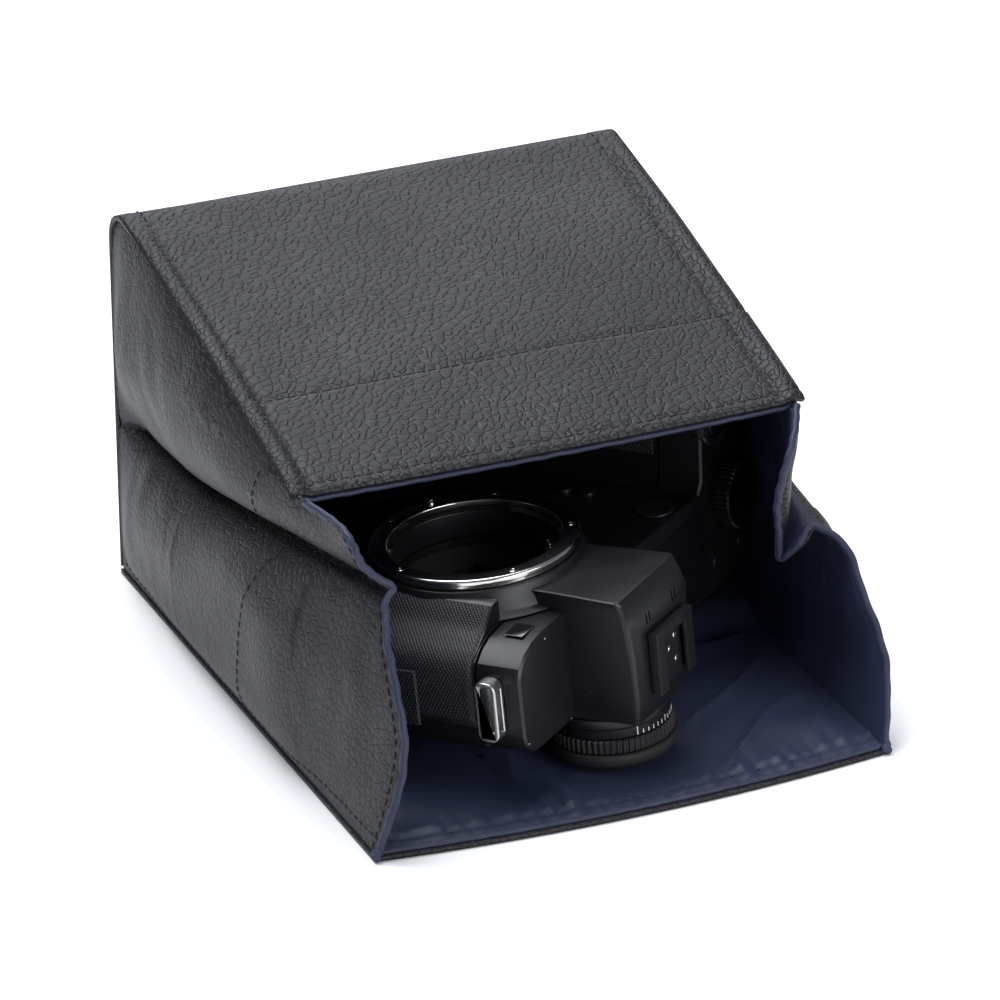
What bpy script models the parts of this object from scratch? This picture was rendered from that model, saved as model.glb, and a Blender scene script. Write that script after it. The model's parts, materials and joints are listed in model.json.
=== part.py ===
"""A mirrorless camera body lying in an open fold-over leather pouch, as an assembly of separate pieces.

The origin is the centre of the pouch's underside: X across the mouth, Y towards the closed end, Z up.
Pieces of the pouch are drawn in the empty "pouch_frame", whose Y starts at the mouth. The camera is drawn
in the empty "camera_frame": X towards the strap-lug end, Y up, Z out of the lens mount, from the mount's face.
"""

import math

import bmesh
import bpy
from mathutils import Matrix, Vector

MM = 0.001
GAP = 0.3               # clearance between pieces that touch
COLLECTION = "camera_in_pouch"
CUTTERS = "cutters"
travel = 0.6            # how far a small button goes in

# ---- the pouch ----
pouchWidth = 163.0
pouchDepth = 215.0
leather = 1.4           # thickness of the leather panels
fabric = 0.6            # thickness of the lining
mouthSetback = 58.0     # how far the top panel's front edge lies behind the base's
mouthHeight = 91.0      # height of the top panel's front edge
mouthBow = 6.0          # how far the base's front edge bows out
ridgeHeight = 125.5     # height of the fold over the closed end
ridgeRadius = 11.0
ridgeSetback = 5.0      # how far the closed end leans in at the top
hingeAngle = 78.0       # where the top panel starts to bend on the ridge
padHeight = 6.0         # foam under the rear part of the floor
padStart = 88.0
padRamp = 14.0
pocketHeight = 84.0
pocketBase = 20.0

# ---- the camera ----
lugEnd = 46.3           # from the lens axis to the strap-lug end
lugCorner = 16.0        # its rounded front corner
gripEnd = 99.0          # from the lens axis to the grip end
baseY = -46.0
cornerRadius = 8.0
plateY = 38.0           # the top plate
seamY = 23.2            # where the top cover meets the casing
frontZ = -12.0
rearZ = -46.0
gripFrontZ = 20.0
shell = 2.4
throatRadius = 25.8
flangeRadius = 31.4
skirtRadius = 36.5      # the mount's foot
screwCircle = 28.6
screwCount = 5
screwStart = 52.0
sensorZ = -20.0
humpX = 0.5
humpTop = 60.0
eyeX = -0.6
eyeY = 40.0
eyeBack = -61.8
shutterX, shutterZ = -81.0, 7.5
dialX, dialZ, dialRadius = -86.0, -19.0, 10.5
bayX = (-92.5, -75.0)    # the battery bay, in X and then in Z
bayZ = (-38.0, 2.0)
displayWindow = (-69.5, -36.0), (-43.5, -17.0)      # from, to: in X, then in Z
shoeX, shoeWidth = -2.0, 22.0
screenWindow = (-46.0, 30.0), (-38.0, 12.0)
batteryLength = 52.0

cameraPlace = (-21.3, 67.1, 63.0)
cameraYaw = 218.9       # turned this far in the pouch
cameraTilt = 3.7        # its top side is raised on the eyecup
cameraRoll = 1.6


# ---------------------------------------------------------------- helpers
def clearScene():
    for thing in list(bpy.data.objects):
        bpy.data.objects.remove(thing, do_unlink=True)
    for name in (COLLECTION, CUTTERS):
        group = bpy.data.collections.get(name) or bpy.data.collections.new(name)
        if name not in bpy.context.scene.collection.children:
            bpy.context.scene.collection.children.link(group)


def material(name, colour, roughness, metallic=0.0):
    found = bpy.data.materials.get(name)
    if found:
        return found
    found = bpy.data.materials.new(name)
    found.use_nodes = True
    shader = found.node_tree.nodes["Principled BSDF"]
    shader.inputs["Base Color"].default_value = (*colour, 1.0)
    shader.inputs["Roughness"].default_value = roughness
    shader.inputs["Metallic"].default_value = metallic
    return found


def finish(name):
    """The named finish of a piece."""
    table = {
        "leather": ((0.028, 0.029, 0.036), 0.45, 0.0),
        "lining": ((0.035, 0.047, 0.12), 0.75, 0.0),
        "foam": ((0.05, 0.05, 0.055), 0.95, 0.0),
        "black_metal": ((0.018, 0.018, 0.022), 0.38, 0.4),
        "leatherette": ((0.02, 0.02, 0.021), 0.7, 0.0),
        "steel": ((0.62, 0.61, 0.60), 0.25, 1.0),
        "rubber": ((0.012, 0.012, 0.013), 0.85, 0.0),
        "black_plastic": ((0.012, 0.012, 0.014), 0.45, 0.0),
        "glass": ((0.01, 0.01, 0.015), 0.05, 0.0),
        "disc": ((0.05, 0.05, 0.055), 0.3, 0.6),
        "gold": ((0.8, 0.55, 0.2), 0.25, 1.0),
        "sensor": ((0.02, 0.015, 0.03), 0.15, 0.0),
    }
    return material(name, *table[name])


def link(thing, group=COLLECTION):
    for old in thing.users_collection:
        old.objects.unlink(thing)
    bpy.data.collections[group].objects.link(thing)
    return thing


def fromBmesh(name, mesh, look=None, group=COLLECTION):
    """A new object from a bmesh in millimetres."""
    bmesh.ops.recalc_face_normals(mesh, faces=mesh.faces)
    bmesh.ops.scale(mesh, vec=(MM, MM, MM), verts=mesh.verts)
    data = bpy.data.meshes.new(name)
    mesh.to_mesh(data)
    mesh.free()
    thing = bpy.data.objects.new(name, data)
    bpy.data.collections[group].objects.link(thing)
    if look:
        data.materials.append(finish(look))
    if group == CUTTERS:
        thing.hide_render = True
        thing.display_type = "WIRE"
    return thing


def place(thing, parent=None, at=(0, 0, 0), turn=None):
    thing.parent = parent
    thing.location = Vector(at) * MM
    if turn:
        thing.rotation_euler = [math.radians(a) for a in turn]
    return thing


def box(name, low, high, look=None, group=COLLECTION, round_=0.0, steps=2):
    """A block between two corners, its edges rounded by a bevel."""
    mesh = bmesh.new()
    bmesh.ops.create_cube(mesh, size=1.0)
    size = Vector(high) - Vector(low)
    bmesh.ops.scale(mesh, vec=size, verts=mesh.verts)
    bmesh.ops.translate(mesh, vec=(Vector(high) + Vector(low)) / 2, verts=mesh.verts)
    if round_:
        bmesh.ops.bevel(mesh, geom=mesh.edges[:], offset=round_, segments=steps,
                        affect="EDGES", profile=0.5, material=-1)
    return fromBmesh(name, mesh, look, group)


def disc(name, radius, low, high, look=None, group=COLLECTION, axis="Z", sides=32, top=None, soft=0.0):
    """A cylinder or cone along an axis, from low to high, with an optional rounded far rim."""
    mesh = bmesh.new()
    made = bmesh.ops.create_cone(mesh, cap_ends=True, segments=sides, radius1=radius,
                                 radius2=radius if top is None else top, depth=high - low)
    bmesh.ops.translate(mesh, vec=(0, 0, (high + low) / 2), verts=made["verts"])
    if soft:
        rim = [e for e in mesh.edges if all(v.co.z > high - 1e-4 for v in e.verts)]
        bmesh.ops.bevel(mesh, geom=rim, offset=soft, segments=2, affect="EDGES", profile=0.5, material=-1)
    turn = {"Z": Matrix.Identity(3), "Y": Matrix.Rotation(-math.pi / 2, 3, "X"),
            "X": Matrix.Rotation(math.pi / 2, 3, "Y")}[axis]
    bmesh.ops.transform(mesh, matrix=turn.to_4x4(), verts=mesh.verts)
    return fromBmesh(name, mesh, look, group)


def turned(name, profile, look=None, group=COLLECTION, sides=48):
    """A ring or barrel about Z: a closed profile of (radius, z) points, turned by a Screw modifier."""
    turnsUp = sum(r0 * z1 - r1 * z0 for (r0, z0), (r1, z1) in zip(profile, profile[1:] + profile[:1])) > 0
    mesh = bmesh.new()
    loop = [mesh.verts.new((r, 0, z)) for r, z in (reversed(profile) if turnsUp else profile)]
    onAxis = [v for v in loop if v.co.x < 1e-6]
    for i in range(len(loop)):
        pair = (loop[i], loop[(i + 1) % len(loop)])
        if not (pair[0] in onAxis and pair[1] in onAxis):
            mesh.edges.new(pair)
    thing = fromBmesh(name, mesh, look, group)
    spin = thing.modifiers.new("turn", "SCREW")
    spin.steps = spin.render_steps = sides
    spin.use_merge_vertices = True
    spin.merge_threshold = 0.00001
    return thing


def plate(name, outline, low, high, look=None, group=COLLECTION, plane="XZ"):
    """A flat outline given thickness: plane XZ is extruded along Y, and YZ along X, and XY along Z."""
    mesh = bmesh.new()
    put = {"XZ": lambda a, b: (a, low, b), "YZ": lambda a, b: (low, a, b), "XY": lambda a, b: (a, b, low)}[plane]
    step = {"XZ": (0, high - low, 0), "YZ": (high - low, 0, 0), "XY": (0, 0, high - low)}[plane]
    face = mesh.faces.new([mesh.verts.new(put(a, b)) for a, b in outline])
    grown = bmesh.ops.extrude_face_region(mesh, geom=[face])
    bmesh.ops.translate(mesh, vec=step, verts=[v for v in grown["geom"] if isinstance(v, bmesh.types.BMVert)])
    return fromBmesh(name, mesh, look, group)


def loft(name, rings, look=None, group=COLLECTION):
    """A solid through rings of equally many points, with both ends closed."""
    mesh = bmesh.new()
    made = [[mesh.verts.new(p) for p in ring] for ring in rings]
    for lower, upper in zip(made, made[1:]):
        for i in range(len(lower)):
            j = (i + 1) % len(lower)
            mesh.faces.new((lower[i], lower[j], upper[j], upper[i]))
    mesh.faces.new(made[0])
    mesh.faces.new(made[-1])
    return fromBmesh(name, mesh, look, group)


def sheet(name, rows, thickness, look, depth, sign):
    """A soft panel: a grid of points on its outer surface, moved in by a depth and given thickness."""
    mesh = bmesh.new()
    grid = [[mesh.verts.new(p) for p in row] for row in rows]
    for a, b in zip(grid, grid[1:]):
        for i in range(len(a) - 1):
            mesh.faces.new((a[i], a[i + 1], b[i + 1], b[i]))
    mesh.normal_update()
    outward = sign * sum(f.normal.x for f in mesh.faces)
    moves = [v.normal * (-depth if outward > 0 else depth) for v in mesh.verts]
    for v, move in zip(mesh.verts, moves):
        v.co += move
    thing = fromBmesh(name, mesh, look)
    solid = thing.modifiers.new("thickness", "SOLIDIFY")
    solid.thickness = thickness * MM
    solid.offset = 0.0
    return thing


def cut(thing, cutter, kind="DIFFERENCE"):
    change = thing.modifiers.new(kind.lower(), "BOOLEAN")
    change.operation = kind
    change.object = cutter
    return thing


def arc(centre, radius, start, end, steps):
    """Points on an arc, both ends included, angles in degrees."""
    angles = [math.radians(start + (end - start) * i / steps) for i in range(steps + 1)]
    return [(centre[0] + radius * math.cos(a), centre[1] + radius * math.sin(a)) for a in angles]


def smoothLine(points, steps):
    """Points on a smooth curve through the given ones."""
    ends = [points[0]] + list(points) + [points[-1]]
    line = []
    for i in range(1, len(ends) - 2):
        a, b, c, d = (Vector(p) for p in ends[i - 1:i + 3])
        for k in range(steps):
            t = k / steps
            line.append(0.5 * (2 * b + (c - a) * t + (2 * a - 5 * b + 4 * c - d) * t * t
                               + (3 * b - a - 3 * c + d) * t ** 3))
    line.append(Vector(points[-1]))
    return line


# ---------------------------------------------------------------- the pouch
def floorHeight(y):
    """The height of the top of the leather and foam under the lining."""
    rise = min(1.0, max(0.0, (y - padStart) / padRamp))
    return leather + GAP + padHeight * rise * rise * (3 - 2 * rise)


def ridgeCentre():
    return pouchDepth - ridgeSetback - ridgeRadius, ridgeHeight - ridgeRadius


def roofHeight(y):
    """The outer height of the top panel, from its front edge to the ridge at the closed end."""
    t = (y - mouthSetback) / (ridgeCentre()[0] - mouthSetback)
    return mouthHeight + (ridgeHeight - mouthHeight) * t + 1.5 * math.sin(math.pi * min(1, max(0, t)))


def strip(name, outer, inner, half, look):
    """A bent panel across the pouch, between an outer and an inner side view."""
    return plate(name, list(outer) + list(reversed(inner)), -half, half, look, plane="YZ")


def makeBase(pouch):
    half = pouchWidth / 2
    edge = [(half * k / 8, -mouthBow * (1 - (k / 8) ** 2)) for k in range(-8, 9)]
    place(plate("base_panel", edge + [(half, pouchDepth), (-half, pouchDepth)], 0, leather, "leather", plane="XY"),
          pouch)
    inner = half - 4.5
    ramp = [(padStart + padRamp * k / 6, floorHeight(padStart + padRamp * k / 6)) for k in range(1, 7)]
    back = pouchDepth - 8
    under = leather + GAP
    foam = ramp + [(back, floorHeight(back)), (back, under), (ramp[0][0], under)]
    place(plate("base_padding", foam, -inner, inner, "foam", plane="YZ"), pouch)
    line = [(y, floorHeight(y) + GAP) for y in [0.5, padStart / 2, padStart] + [y for y, z in ramp] + [back + 3]]
    place(strip("base_lining", [(y, z + fabric) for y, z in line], line, inner, "lining"), pouch)


def backLine(depth, low, top):
    """The side view of the closed end, moved in by a depth, from a height to the ridge's spring line."""
    lean = ridgeSetback / (ridgeHeight - ridgeRadius)
    return [(pouchDepth - lean * z - depth, z) for z in (low, low + (top - low) * 0.5, top)]


def makeBack(pouch):
    half = pouchWidth / 2
    centre = ridgeCentre()
    top = centre[1] - 4.0
    low = leather + GAP

    def overRidge(depth):
        return backLine(depth, low, top) + arc(centre, ridgeRadius - depth, 0, hingeAngle, 6)

    place(strip("back_panel", overRidge(0), overRidge(leather), half, "leather"), pouch)
    drop = leather + GAP
    low = floorHeight(pouchDepth) + 2 * GAP + fabric
    place(strip("back_lining", backLine(drop, low, top), backLine(drop + fabric, low, top), half - 6.5, "lining"),
          pouch)
    zs = [pocketBase + pocketHeight * i / 6 for i in range(7)]
    lean = ridgeSetback / (ridgeHeight - ridgeRadius)
    patch = [(pouchDepth - lean * z + GAP + 2.2 * math.sin(math.pi * i / 6), z) for i, z in enumerate(zs)]
    place(strip("back_pocket", [(y + leather, z) for y, z in patch], patch, half - 2, "leather"), pouch)


def makeTop(pouch):
    half = pouchWidth / 2
    centre = ridgeCentre()
    ys = [mouthSetback + (centre[0] - mouthSetback) * i / 8 for i in range(9)]

    def roof(depth):
        first = math.degrees(math.acos(GAP / (ridgeRadius - depth)))
        return [(y, roofHeight(y) - depth) for y in ys] + arc(centre, ridgeRadius - depth, first, hingeAngle + 1.8, 2)

    place(strip("top_panel", roof(0), roof(leather), half, "leather"), pouch)
    drop = leather + GAP
    line = [(y, roofHeight(y) - drop) for y in ys[:-1]]
    place(strip("top_lining", line, [(y, z - fabric) for y, z in line], half - 5, "lining"), pouch)


# The side folds, at stations from the mouth to the closed end. A station is its depth as a share of the pouch's,
# the height of its crease, and how far its points lie in from the side seam: the lower half's six from the floor
# up to the crease, then the upper half's six from the crease up to the top panel.
foldHeights = (0.0, 0.2, 0.42, 0.66, 0.84, 1.0)
foldStations = {
    "left": [
        (0.00, 71, (0.6, 3.0, 6.5, 8.0, 9.5, 11.5), (13.0, 8.5, 5.5, 3.8, 3.2, 3.0)),
        (0.19, 71, (0.6, -0.5, 0.5, 1.0, 3.5, 9.0), (9.5, 6.0, 4.2, 3.4, 3.0, 2.9)),
        (0.31, 68, (0.6, -4.4, -5.8, -5.8, -4.0, 6.5), (7.5, 2.5, 0.0, -0.5, 0.0, 2.2)),
        (0.45, 64, (0.6, -4.8, -5.8, -5.8, -5.0, 6.0), (7.0, 0.0, -3.0, -3.5, -1.0, 2.2)),
        (0.70, 54, (0.6, -3.8, -5.2, -4.5, -1.5, 5.5), (6.5, -1.5, -5.0, -5.0, -1.5, 2.2)),
        (0.98, 52, (0.6, -1.5, -2.5, -2.0, 0.0, 3.0), (3.0, -1.0, -3.0, -2.5, 0.0, 2.8)),
    ],
    "right": [
        (0.00, 56, (0.6, -1.5, -3.5, -4.5, -3.0, 5.0), (14.0, 15.5, 15.0, 12.0, 7.0, 2.2)),
        (0.23, 58, (0.6, -3.0, -5.0, -5.2, -4.0, 3.0), (9.0, 9.0, 8.0, 5.5, 3.5, 2.2)),
        (0.36, 59, (0.6, -4.0, -5.2, -5.4, -5.0, -3.0), (-1.5, -2.0, -2.5, -2.0, -0.5, 2.2)),
        (0.46, 59, (0.6, -4.0, -5.2, -5.4, -5.2, -4.6), (-4.4, -4.6, -4.8, -4.2, -1.2, 2.2)),
        (0.66, 57, (0.6, -4.0, -5.2, -5.2, -5.0, -4.2), (-4.2, -4.8, -5.0, -4.4, -1.5, 2.2)),
        (0.98, 52, (0.6, -1.5, -2.5, -2.0, 0.0, 3.0), (3.0, -1.0, -3.0, -2.5, 0.0, 2.8)),
    ],
}
# How far behind the base's front edge the folds' mouth edges run, and the next station of the upper halves.
mouthDepths = {"left": ((1, -2, -2, 2, 11, 20), (20, 23, 25, 29, 36, 46)),
               "right": ((1, 6, 13, 22, 27, 37), (43, 41, 42, 45, 50, 57.5))}
upperDepths = {"left": (42, 42, 44, 47, 51, 56), "right": (50, 50, 52, 55, 60, 68)}


def foldRows(side, part):
    """Points on the outer surface of one half of a side fold, station by station."""
    sign = -1 if side == "left" else 1
    upper = part == "upper"
    rows = []
    for n, (share, crease, lowInsets, highInsets) in enumerate(foldStations[side]):
        depths = [share * pouchDepth] * 6
        if n == 0:
            depths = mouthDepths[side][upper]
        elif n == 1 and upper:
            depths = upperDepths[side]
        row = []
        for height, inset, y in zip(foldHeights, highInsets if upper else lowInsets, depths):
            bottom, top = leather + 2 * GAP, crease - 1.0
            if upper:
                bottom = crease + 1.0
                lean = max(0, highInsets[-2] - highInsets[-1]) + (2.4 if n < 2 else 0)
                top = min(roofHeight(depths[-1]), ridgeHeight - 6) - leather - 2 * GAP - lean / 2
            z = bottom + height * (top - bottom)
            if n == len(foldStations[side]) - 1:
                y = backLine(leather + 2 * GAP, z, z)[0][0]
            row.append((sign * (pouchWidth / 2 - inset), y, z))
        rows.append(row)
    return rows


def makeFold(pouch, side, part):
    """One half of a side fold: the leather outside and its lining inside."""
    rows = foldRows(side, part)
    columns = [smoothLine([row[i] for row in rows], 2) for i in range(len(foldHeights))]
    grid = [smoothLine([column[k] for column in columns], 2) for k in range(len(columns[0]))]
    sign = -1 if side == "left" else 1
    for name, look, thick, depth in (("fold", "leather", leather, leather / 2),
                                     ("lining", "lining", fabric, leather + GAP + fabric / 2)):
        place(sheet(f"{side}_{name}_{part}", grid, thick, look, depth, sign), pouch)


def makePouch():
    pouch = bpy.data.objects.new("pouch_frame", None)
    link(pouch)
    pouch.location = (0, -pouchDepth / 2 * MM, 0)
    makeBase(pouch)
    makeBack(pouch)
    makeTop(pouch)
    for side in ("left", "right"):
        for part in ("lower", "upper"):
            makeFold(pouch, side, part)
    return pouch


# ---------------------------------------------------------------- the camera
def bodyOutline(grow=0.0):
    """The casing seen from above, from the front by the lug end round the back to the grip."""
    g = grow
    line = [(lugEnd - lugCorner, frontZ + g)] + lugCurve(g, (22, 44, 66, 88))
    line += arc((lugEnd - 8, rearZ + 8), 8 + g, 0, -90, 4)
    line += arc((-gripEnd + 8, rearZ + 8), 8 + g, -90, -180, 4)
    return line + gripCurve(g)


def lugCurve(grow, angles):
    """The rounded front corner by the lug end, seen from above."""
    return [(lugEnd - lugCorner + (lugCorner + grow) * math.sin(math.radians(a)),
             frontZ - 9.0 + (9.0 + grow) * math.cos(math.radians(a))) for a in angles]


def gripCurve(grow=0.0):
    """The grip seen from above, from its outer side round its nose to the front of the casing."""
    g = grow
    return [(-gripEnd - g, -8.0), (-gripEnd + 0.8 - g, 3.0), (-gripEnd + 4.0 - g * 0.8, 12.0 + g * 0.6),
            (-gripEnd + 10.0 - g * 0.4, 18.0 + g * 0.9), (-gripEnd + 17.0, gripFrontZ + g),
            (-gripEnd + 22.5 + g * 0.6, 17.0 + g * 0.8), (-gripEnd + 26.0 + g, 8.0), (-gripEnd + 27.5 + g, -2.0),
            (-gripEnd + 28.4 + g, frontZ + 3.0), (-gripEnd + 31.0 + g, frontZ + g)]


def roundCorners(camera, thing, grow=0.0):
    """Rounds the casing's two bottom corners, seen from the front."""
    radius = cornerRadius + grow
    low = (-gripEnd + cornerRadius, baseY + cornerRadius)
    high = (lugEnd - cornerRadius, baseY + cornerRadius)
    outline = arc(low, radius, 180, 270, 5) + arc(high, radius, 270, 360, 5)
    outline += [(lugEnd + grow, plateY + 20), (-gripEnd - grow, plateY + 20)]
    cut(thing, place(plate(thing.name + "_corners", outline, rearZ - 10, gripFrontZ + 10, group=CUTTERS, plane="XY"),
                     camera), "INTERSECT")


def makeCasing(camera):
    casing = place(plate("body_casing", bodyOutline(), baseY + 3.0, seamY - GAP, "black_metal"), camera)
    roundCorners(camera, casing)
    room = box("room_cutter", (-gripEnd + 36, baseY - 5, rearZ + shell), (lugEnd - 6, seamY + 5, frontZ - shell),
               group=CUTTERS)
    bay = box("battery_cutter", (bayX[0], baseY - 5, bayZ[0]), (bayX[1], baseY + 3 + batteryLength, bayZ[1]),
              group=CUTTERS)
    hole = disc("throat_cutter", throatRadius - 0.4, frontZ - 8, frontZ + 5, group=CUTTERS, sides=48)
    for tool in (room, bay, hole):
        cut(casing, place(tool, camera))
    for name, x, y in frontButtons:
        cut(casing, place(disc(name + "_well", 2.5 + GAP, frontZ - 1.6, frontZ + 2, group=CUTTERS, sides=20), camera,
                          (x, y, 0)))
    pin = disc("lock_bore", 1.5, frontZ - 3, frontZ + 2, group=CUTTERS, sides=16)
    cut(casing, place(pin, camera, onCircle(lockAngle)))


frontButtons = (("front_button_upper", -59.0, 5.0), ("front_button_lower", -59.0, -3.0))
lockAngle = 236.0       # where the lens lock pin stands on the screw circle


def onCircle(angle):
    return (screwCircle * math.cos(math.radians(angle)), screwCircle * math.sin(math.radians(angle)), 0)


def makeChassis(camera):
    frame = box("chassis", (-gripEnd + 36 + GAP, baseY + 4, rearZ + shell + GAP),
                (lugEnd - 6 - GAP, seamY - 1, sensorZ - 3.2), "black_metal", round_=1.5)
    place(frame, camera)
    cut(frame, place(box("chassis_window", (-18, -12, rearZ - 5), (18, 12, sensorZ), group=CUTTERS), camera))
    place(box("image_sensor", (-19, -13, sensorZ - 2.9), (19, 13, sensorZ - 1.2), "sensor"), camera)
    mask = disc("shutter_frame", throatRadius + 3.5, sensorZ - 0.9, frontZ - shell - GAP, "black_plastic", sides=40)
    place(mask, camera)
    cut(mask, place(box("gate_cutter", (-18.3, -12.3, sensorZ - 5), (18.3, 12.3, 5), group=CUTTERS), camera))
    cut(mask, place(disc("funnel_cutter", 20.0, sensorZ + 0.4, frontZ, group=CUTTERS, sides=40,
                         top=throatRadius + 4.0), camera))


def makeMount(camera):
    """The raised foot, the bayonet ring with its three claws, its screws, the lens lock and the contacts."""
    foot = frontZ + GAP
    base = turned("mount_base", [(throatRadius - 0.4, foot), (skirtRadius, foot), (flangeRadius + 0.6, -3.6),
                                 (throatRadius - 0.4, -3.6)], "black_metal")
    place(base, camera)
    ring = turned("mount_ring", [(throatRadius, -3.3), (flangeRadius - 0.8, -3.3), (flangeRadius - 0.8, -1.9),
                                 (flangeRadius, -1.9), (flangeRadius, -0.5), (flangeRadius - 0.5, 0),
                                 (throatRadius, 0)], "steel")
    place(ring, camera)
    for k in range(3):
        start = 20 + 120 * k
        claw = (arc((0, 0), throatRadius + 1.0, start, start + 42, 6)
                + arc((0, 0), throatRadius - 1.9, start + 42, start, 6))
        cut(ring, place(plate(f"claw_{k}", claw, -2.9, -1.5, group=CUTTERS, plane="XY"), camera), "UNION")
    for k in range(screwCount):
        at = onCircle(screwStart + 360 / screwCount * k)
        cut(ring, place(disc(f"screw_well_{k}", 1.8, -1.7, 2, group=CUTTERS, sides=16), camera, at))
        screw = place(disc(f"mount_screw_{k + 1}", 1.5, -1.4, 0.25, "steel", sides=16, soft=0.3), camera, at)
        cut(screw, place(box(f"slot_{k}", (-2, -0.22, -0.35), (2, 0.22, 2), group=CUTTERS), camera, at))
    at = onCircle(lockAngle)
    for thing in (ring, base):
        cut(thing, place(disc(thing.name + "_pin_bore", 1.5, frontZ - 6, 2, group=CUTTERS, sides=16), camera, at))
    place(disc("lens_lock_pin", 1.15, -4.5, 1.6, "steel", sides=16, soft=0.3), camera, at)
    reach = skirtRadius + 5.8
    at = (-reach * math.cos(math.radians(30)), -reach * math.sin(math.radians(30)), frontZ + GAP)
    place(disc("lens_release_button", 5.2, 0, 5.0, "black_metal", sides=28, soft=0.8), camera, at)
    well = place(disc("release_well", 5.2 + GAP, -4, 4, group=CUTTERS, sides=28), camera, at)
    cut(bpy.data.objects["body_casing"], well)
    contacts = (arc((0, 0), throatRadius - 0.7, 66, 114, 8) + arc((0, 0), throatRadius - 3.6, 114, 66, 8))
    place(plate("lens_contacts", contacts, -9.5, -4.5, "gold", plane="XY"), camera)


# The finder hump from back to front: depth, height of its top, half width at its foot and at its top.
humpSlices = ((rearZ, humpTop - 1.5, 16.5, 15.5), (-38.0, humpTop, 16.5, 17.0), (-24.0, humpTop, 16.5, 17.5),
              (-15.0, humpTop, 17.0, 19.0), (-8.0, humpTop, 19.0, 21.5), (-3.0, humpTop, 22.5, 24.0),
              (-0.6, humpTop - 0.2, 24.5, 24.8), (0.0, humpTop - 0.9, 24.3, 24.2))


def humpRings():
    low, fillet = seamY + 4, 1.6
    rings = []
    for z, top, foot, half in humpSlices:
        side = [(foot, low, z), (foot, plateY - 3, z), (half, top - fillet, z), (half - 0.5, top - 0.5, z),
                (half - fillet, top, z)]
        rings.append([(humpX - x, y, z) for x, y, z in side] + [(humpX + x, y, z) for x, y, z in reversed(side)])
    return rings


def makeTopCover(camera):
    cover = place(plate("top_cover", bodyOutline(), seamY, plateY, "black_metal"), camera)
    edge = cover.modifiers.new("edge", "BEVEL")
    edge.width = 0.7 * MM
    edge.segments = 1
    edge.limit_method = "ANGLE"
    edge.angle_limit = math.radians(50)
    cut(cover, place(loft("hump", humpRings(), group=CUTTERS), camera), "UNION")
    cut(cover, place(disc("mount_clearance", skirtRadius + GAP, frontZ + 0.05, 0, group=CUTTERS, sides=64,
                          top=flangeRadius + 0.6), camera))
    cut(cover, place(disc("frame_clearance", throatRadius + 3.5 + GAP, sensorZ - 0.9 - GAP, frontZ - shell,
                          group=CUTTERS, sides=40), camera))
    cut(cover, bpy.data.objects["throat_cutter"])
    cut(cover, place(disc("ring_clearance", flangeRadius + 0.8, -4.5, 4, group=CUTTERS, sides=64), camera))
    (left, right), (back, front) = displayWindow
    cut(cover, place(box("display_well", (left, plateY - 1.2, back), (right, plateY + 3, front), group=CUTTERS),
                     camera))
    wells = [("shutter_well", shutterX, shutterZ, 9.0, 3.4), ("dial_well", dialX, dialZ, dialRadius + 0.5, 3.0)]
    wells += [(name + "_well", x, z, 2.6 + GAP, 2.0) for name, x, z in topButtons]
    for name, x, z, radius, depth in wells:
        cut(cover, place(disc(name, radius, plateY - depth, plateY + 4, group=CUTTERS, axis="Y", sides=32),
                         camera, (x, 0, z)))
    cut(cover, place(box("finder_room", (-12, seamY - 5, rearZ + 3), (12, humpTop - 6, -9), group=CUTTERS), camera))
    cut(cover, place(disc("finder_window", 12.0, rearZ - 5, rearZ + 8, group=CUTTERS, sides=32), camera,
                     (eyeX, eyeY, 0)))
    for k, x in enumerate((-9.0, 7.0)):
        for i in (-1, 1):
            low, high = x + i * 0.9 - 0.35, x + i * 0.9 + 0.35
            cut(cover, place(box(f"mic_{k}_{i}", (low, humpTop - 2, -16.6), (high, humpTop + 2, -13.4),
                                 group=CUTTERS), camera))


topButtons = (("top_button_1", -75.0, -37.0), ("top_button_2", -91.0, -37.0))


def makeTopControls(camera):
    (left, right), (back, front) = displayWindow
    place(box("top_display", (left + GAP, plateY - 0.9, back + GAP), (right - GAP, plateY + 0.1, front - GAP),
              "glass"), camera)
    floor = plateY - 3.4 + GAP
    lever = turned("power_lever", [(5.9, 0), (8.6, 0), (8.6, 3.6), (8.0, 4.3), (6.4, 4.3), (5.9, 3.8)], "steel",
                   sides=36)
    place(lever, camera, (shutterX, floor, shutterZ), (-90, 0, 0))
    tab = place(box("lever_tab", (7.6, -1.6, 0.5), (11.0, 1.6, 2.5), group=CUTTERS), lever, (0, 0, 3.1))
    cut(lever, tab, "UNION")
    place(disc("shutter_button", 5.5, 1.5, 5.2, "black_metal", sides=28, soft=0.8), camera,
          (shutterX, floor, shutterZ), (-90, 0, 0))
    place(knurled("top_dial", dialRadius, 8.2, 36, 0.45), camera, (dialX, plateY - 3.0 + GAP, dialZ), (-90, 0, 0))
    for name, x, z in topButtons:
        place(disc(name, 2.6, travel, 2.6, "black_metal", sides=20, soft=0.4), camera, (x, plateY - 2.0 + GAP, z),
              (-90, 0, 0))
    for name, x, y in frontButtons:
        place(disc(name, 2.5, travel, 2.4, "black_metal", sides=20, soft=0.4), camera, (x, y, frontZ - 1.6 + GAP))


def knurled(name, radius, height, teeth, depth, look="black_metal", bore=0.0):
    """A knob with teeth round its rim, along Z from its own origin."""
    rim = []
    for k in range(teeth * 2):
        r = radius if k % 2 else radius - depth
        a = math.pi * k / teeth
        rim.append((r * math.cos(a), r * math.sin(a)))
    knob = plate(name, rim, 0, height, look, plane="XY")
    if bore:
        cut(knob, place(disc(name + "_bore", bore, -2, height + 2, group=CUTTERS, sides=36), knob))
    return knob


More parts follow.
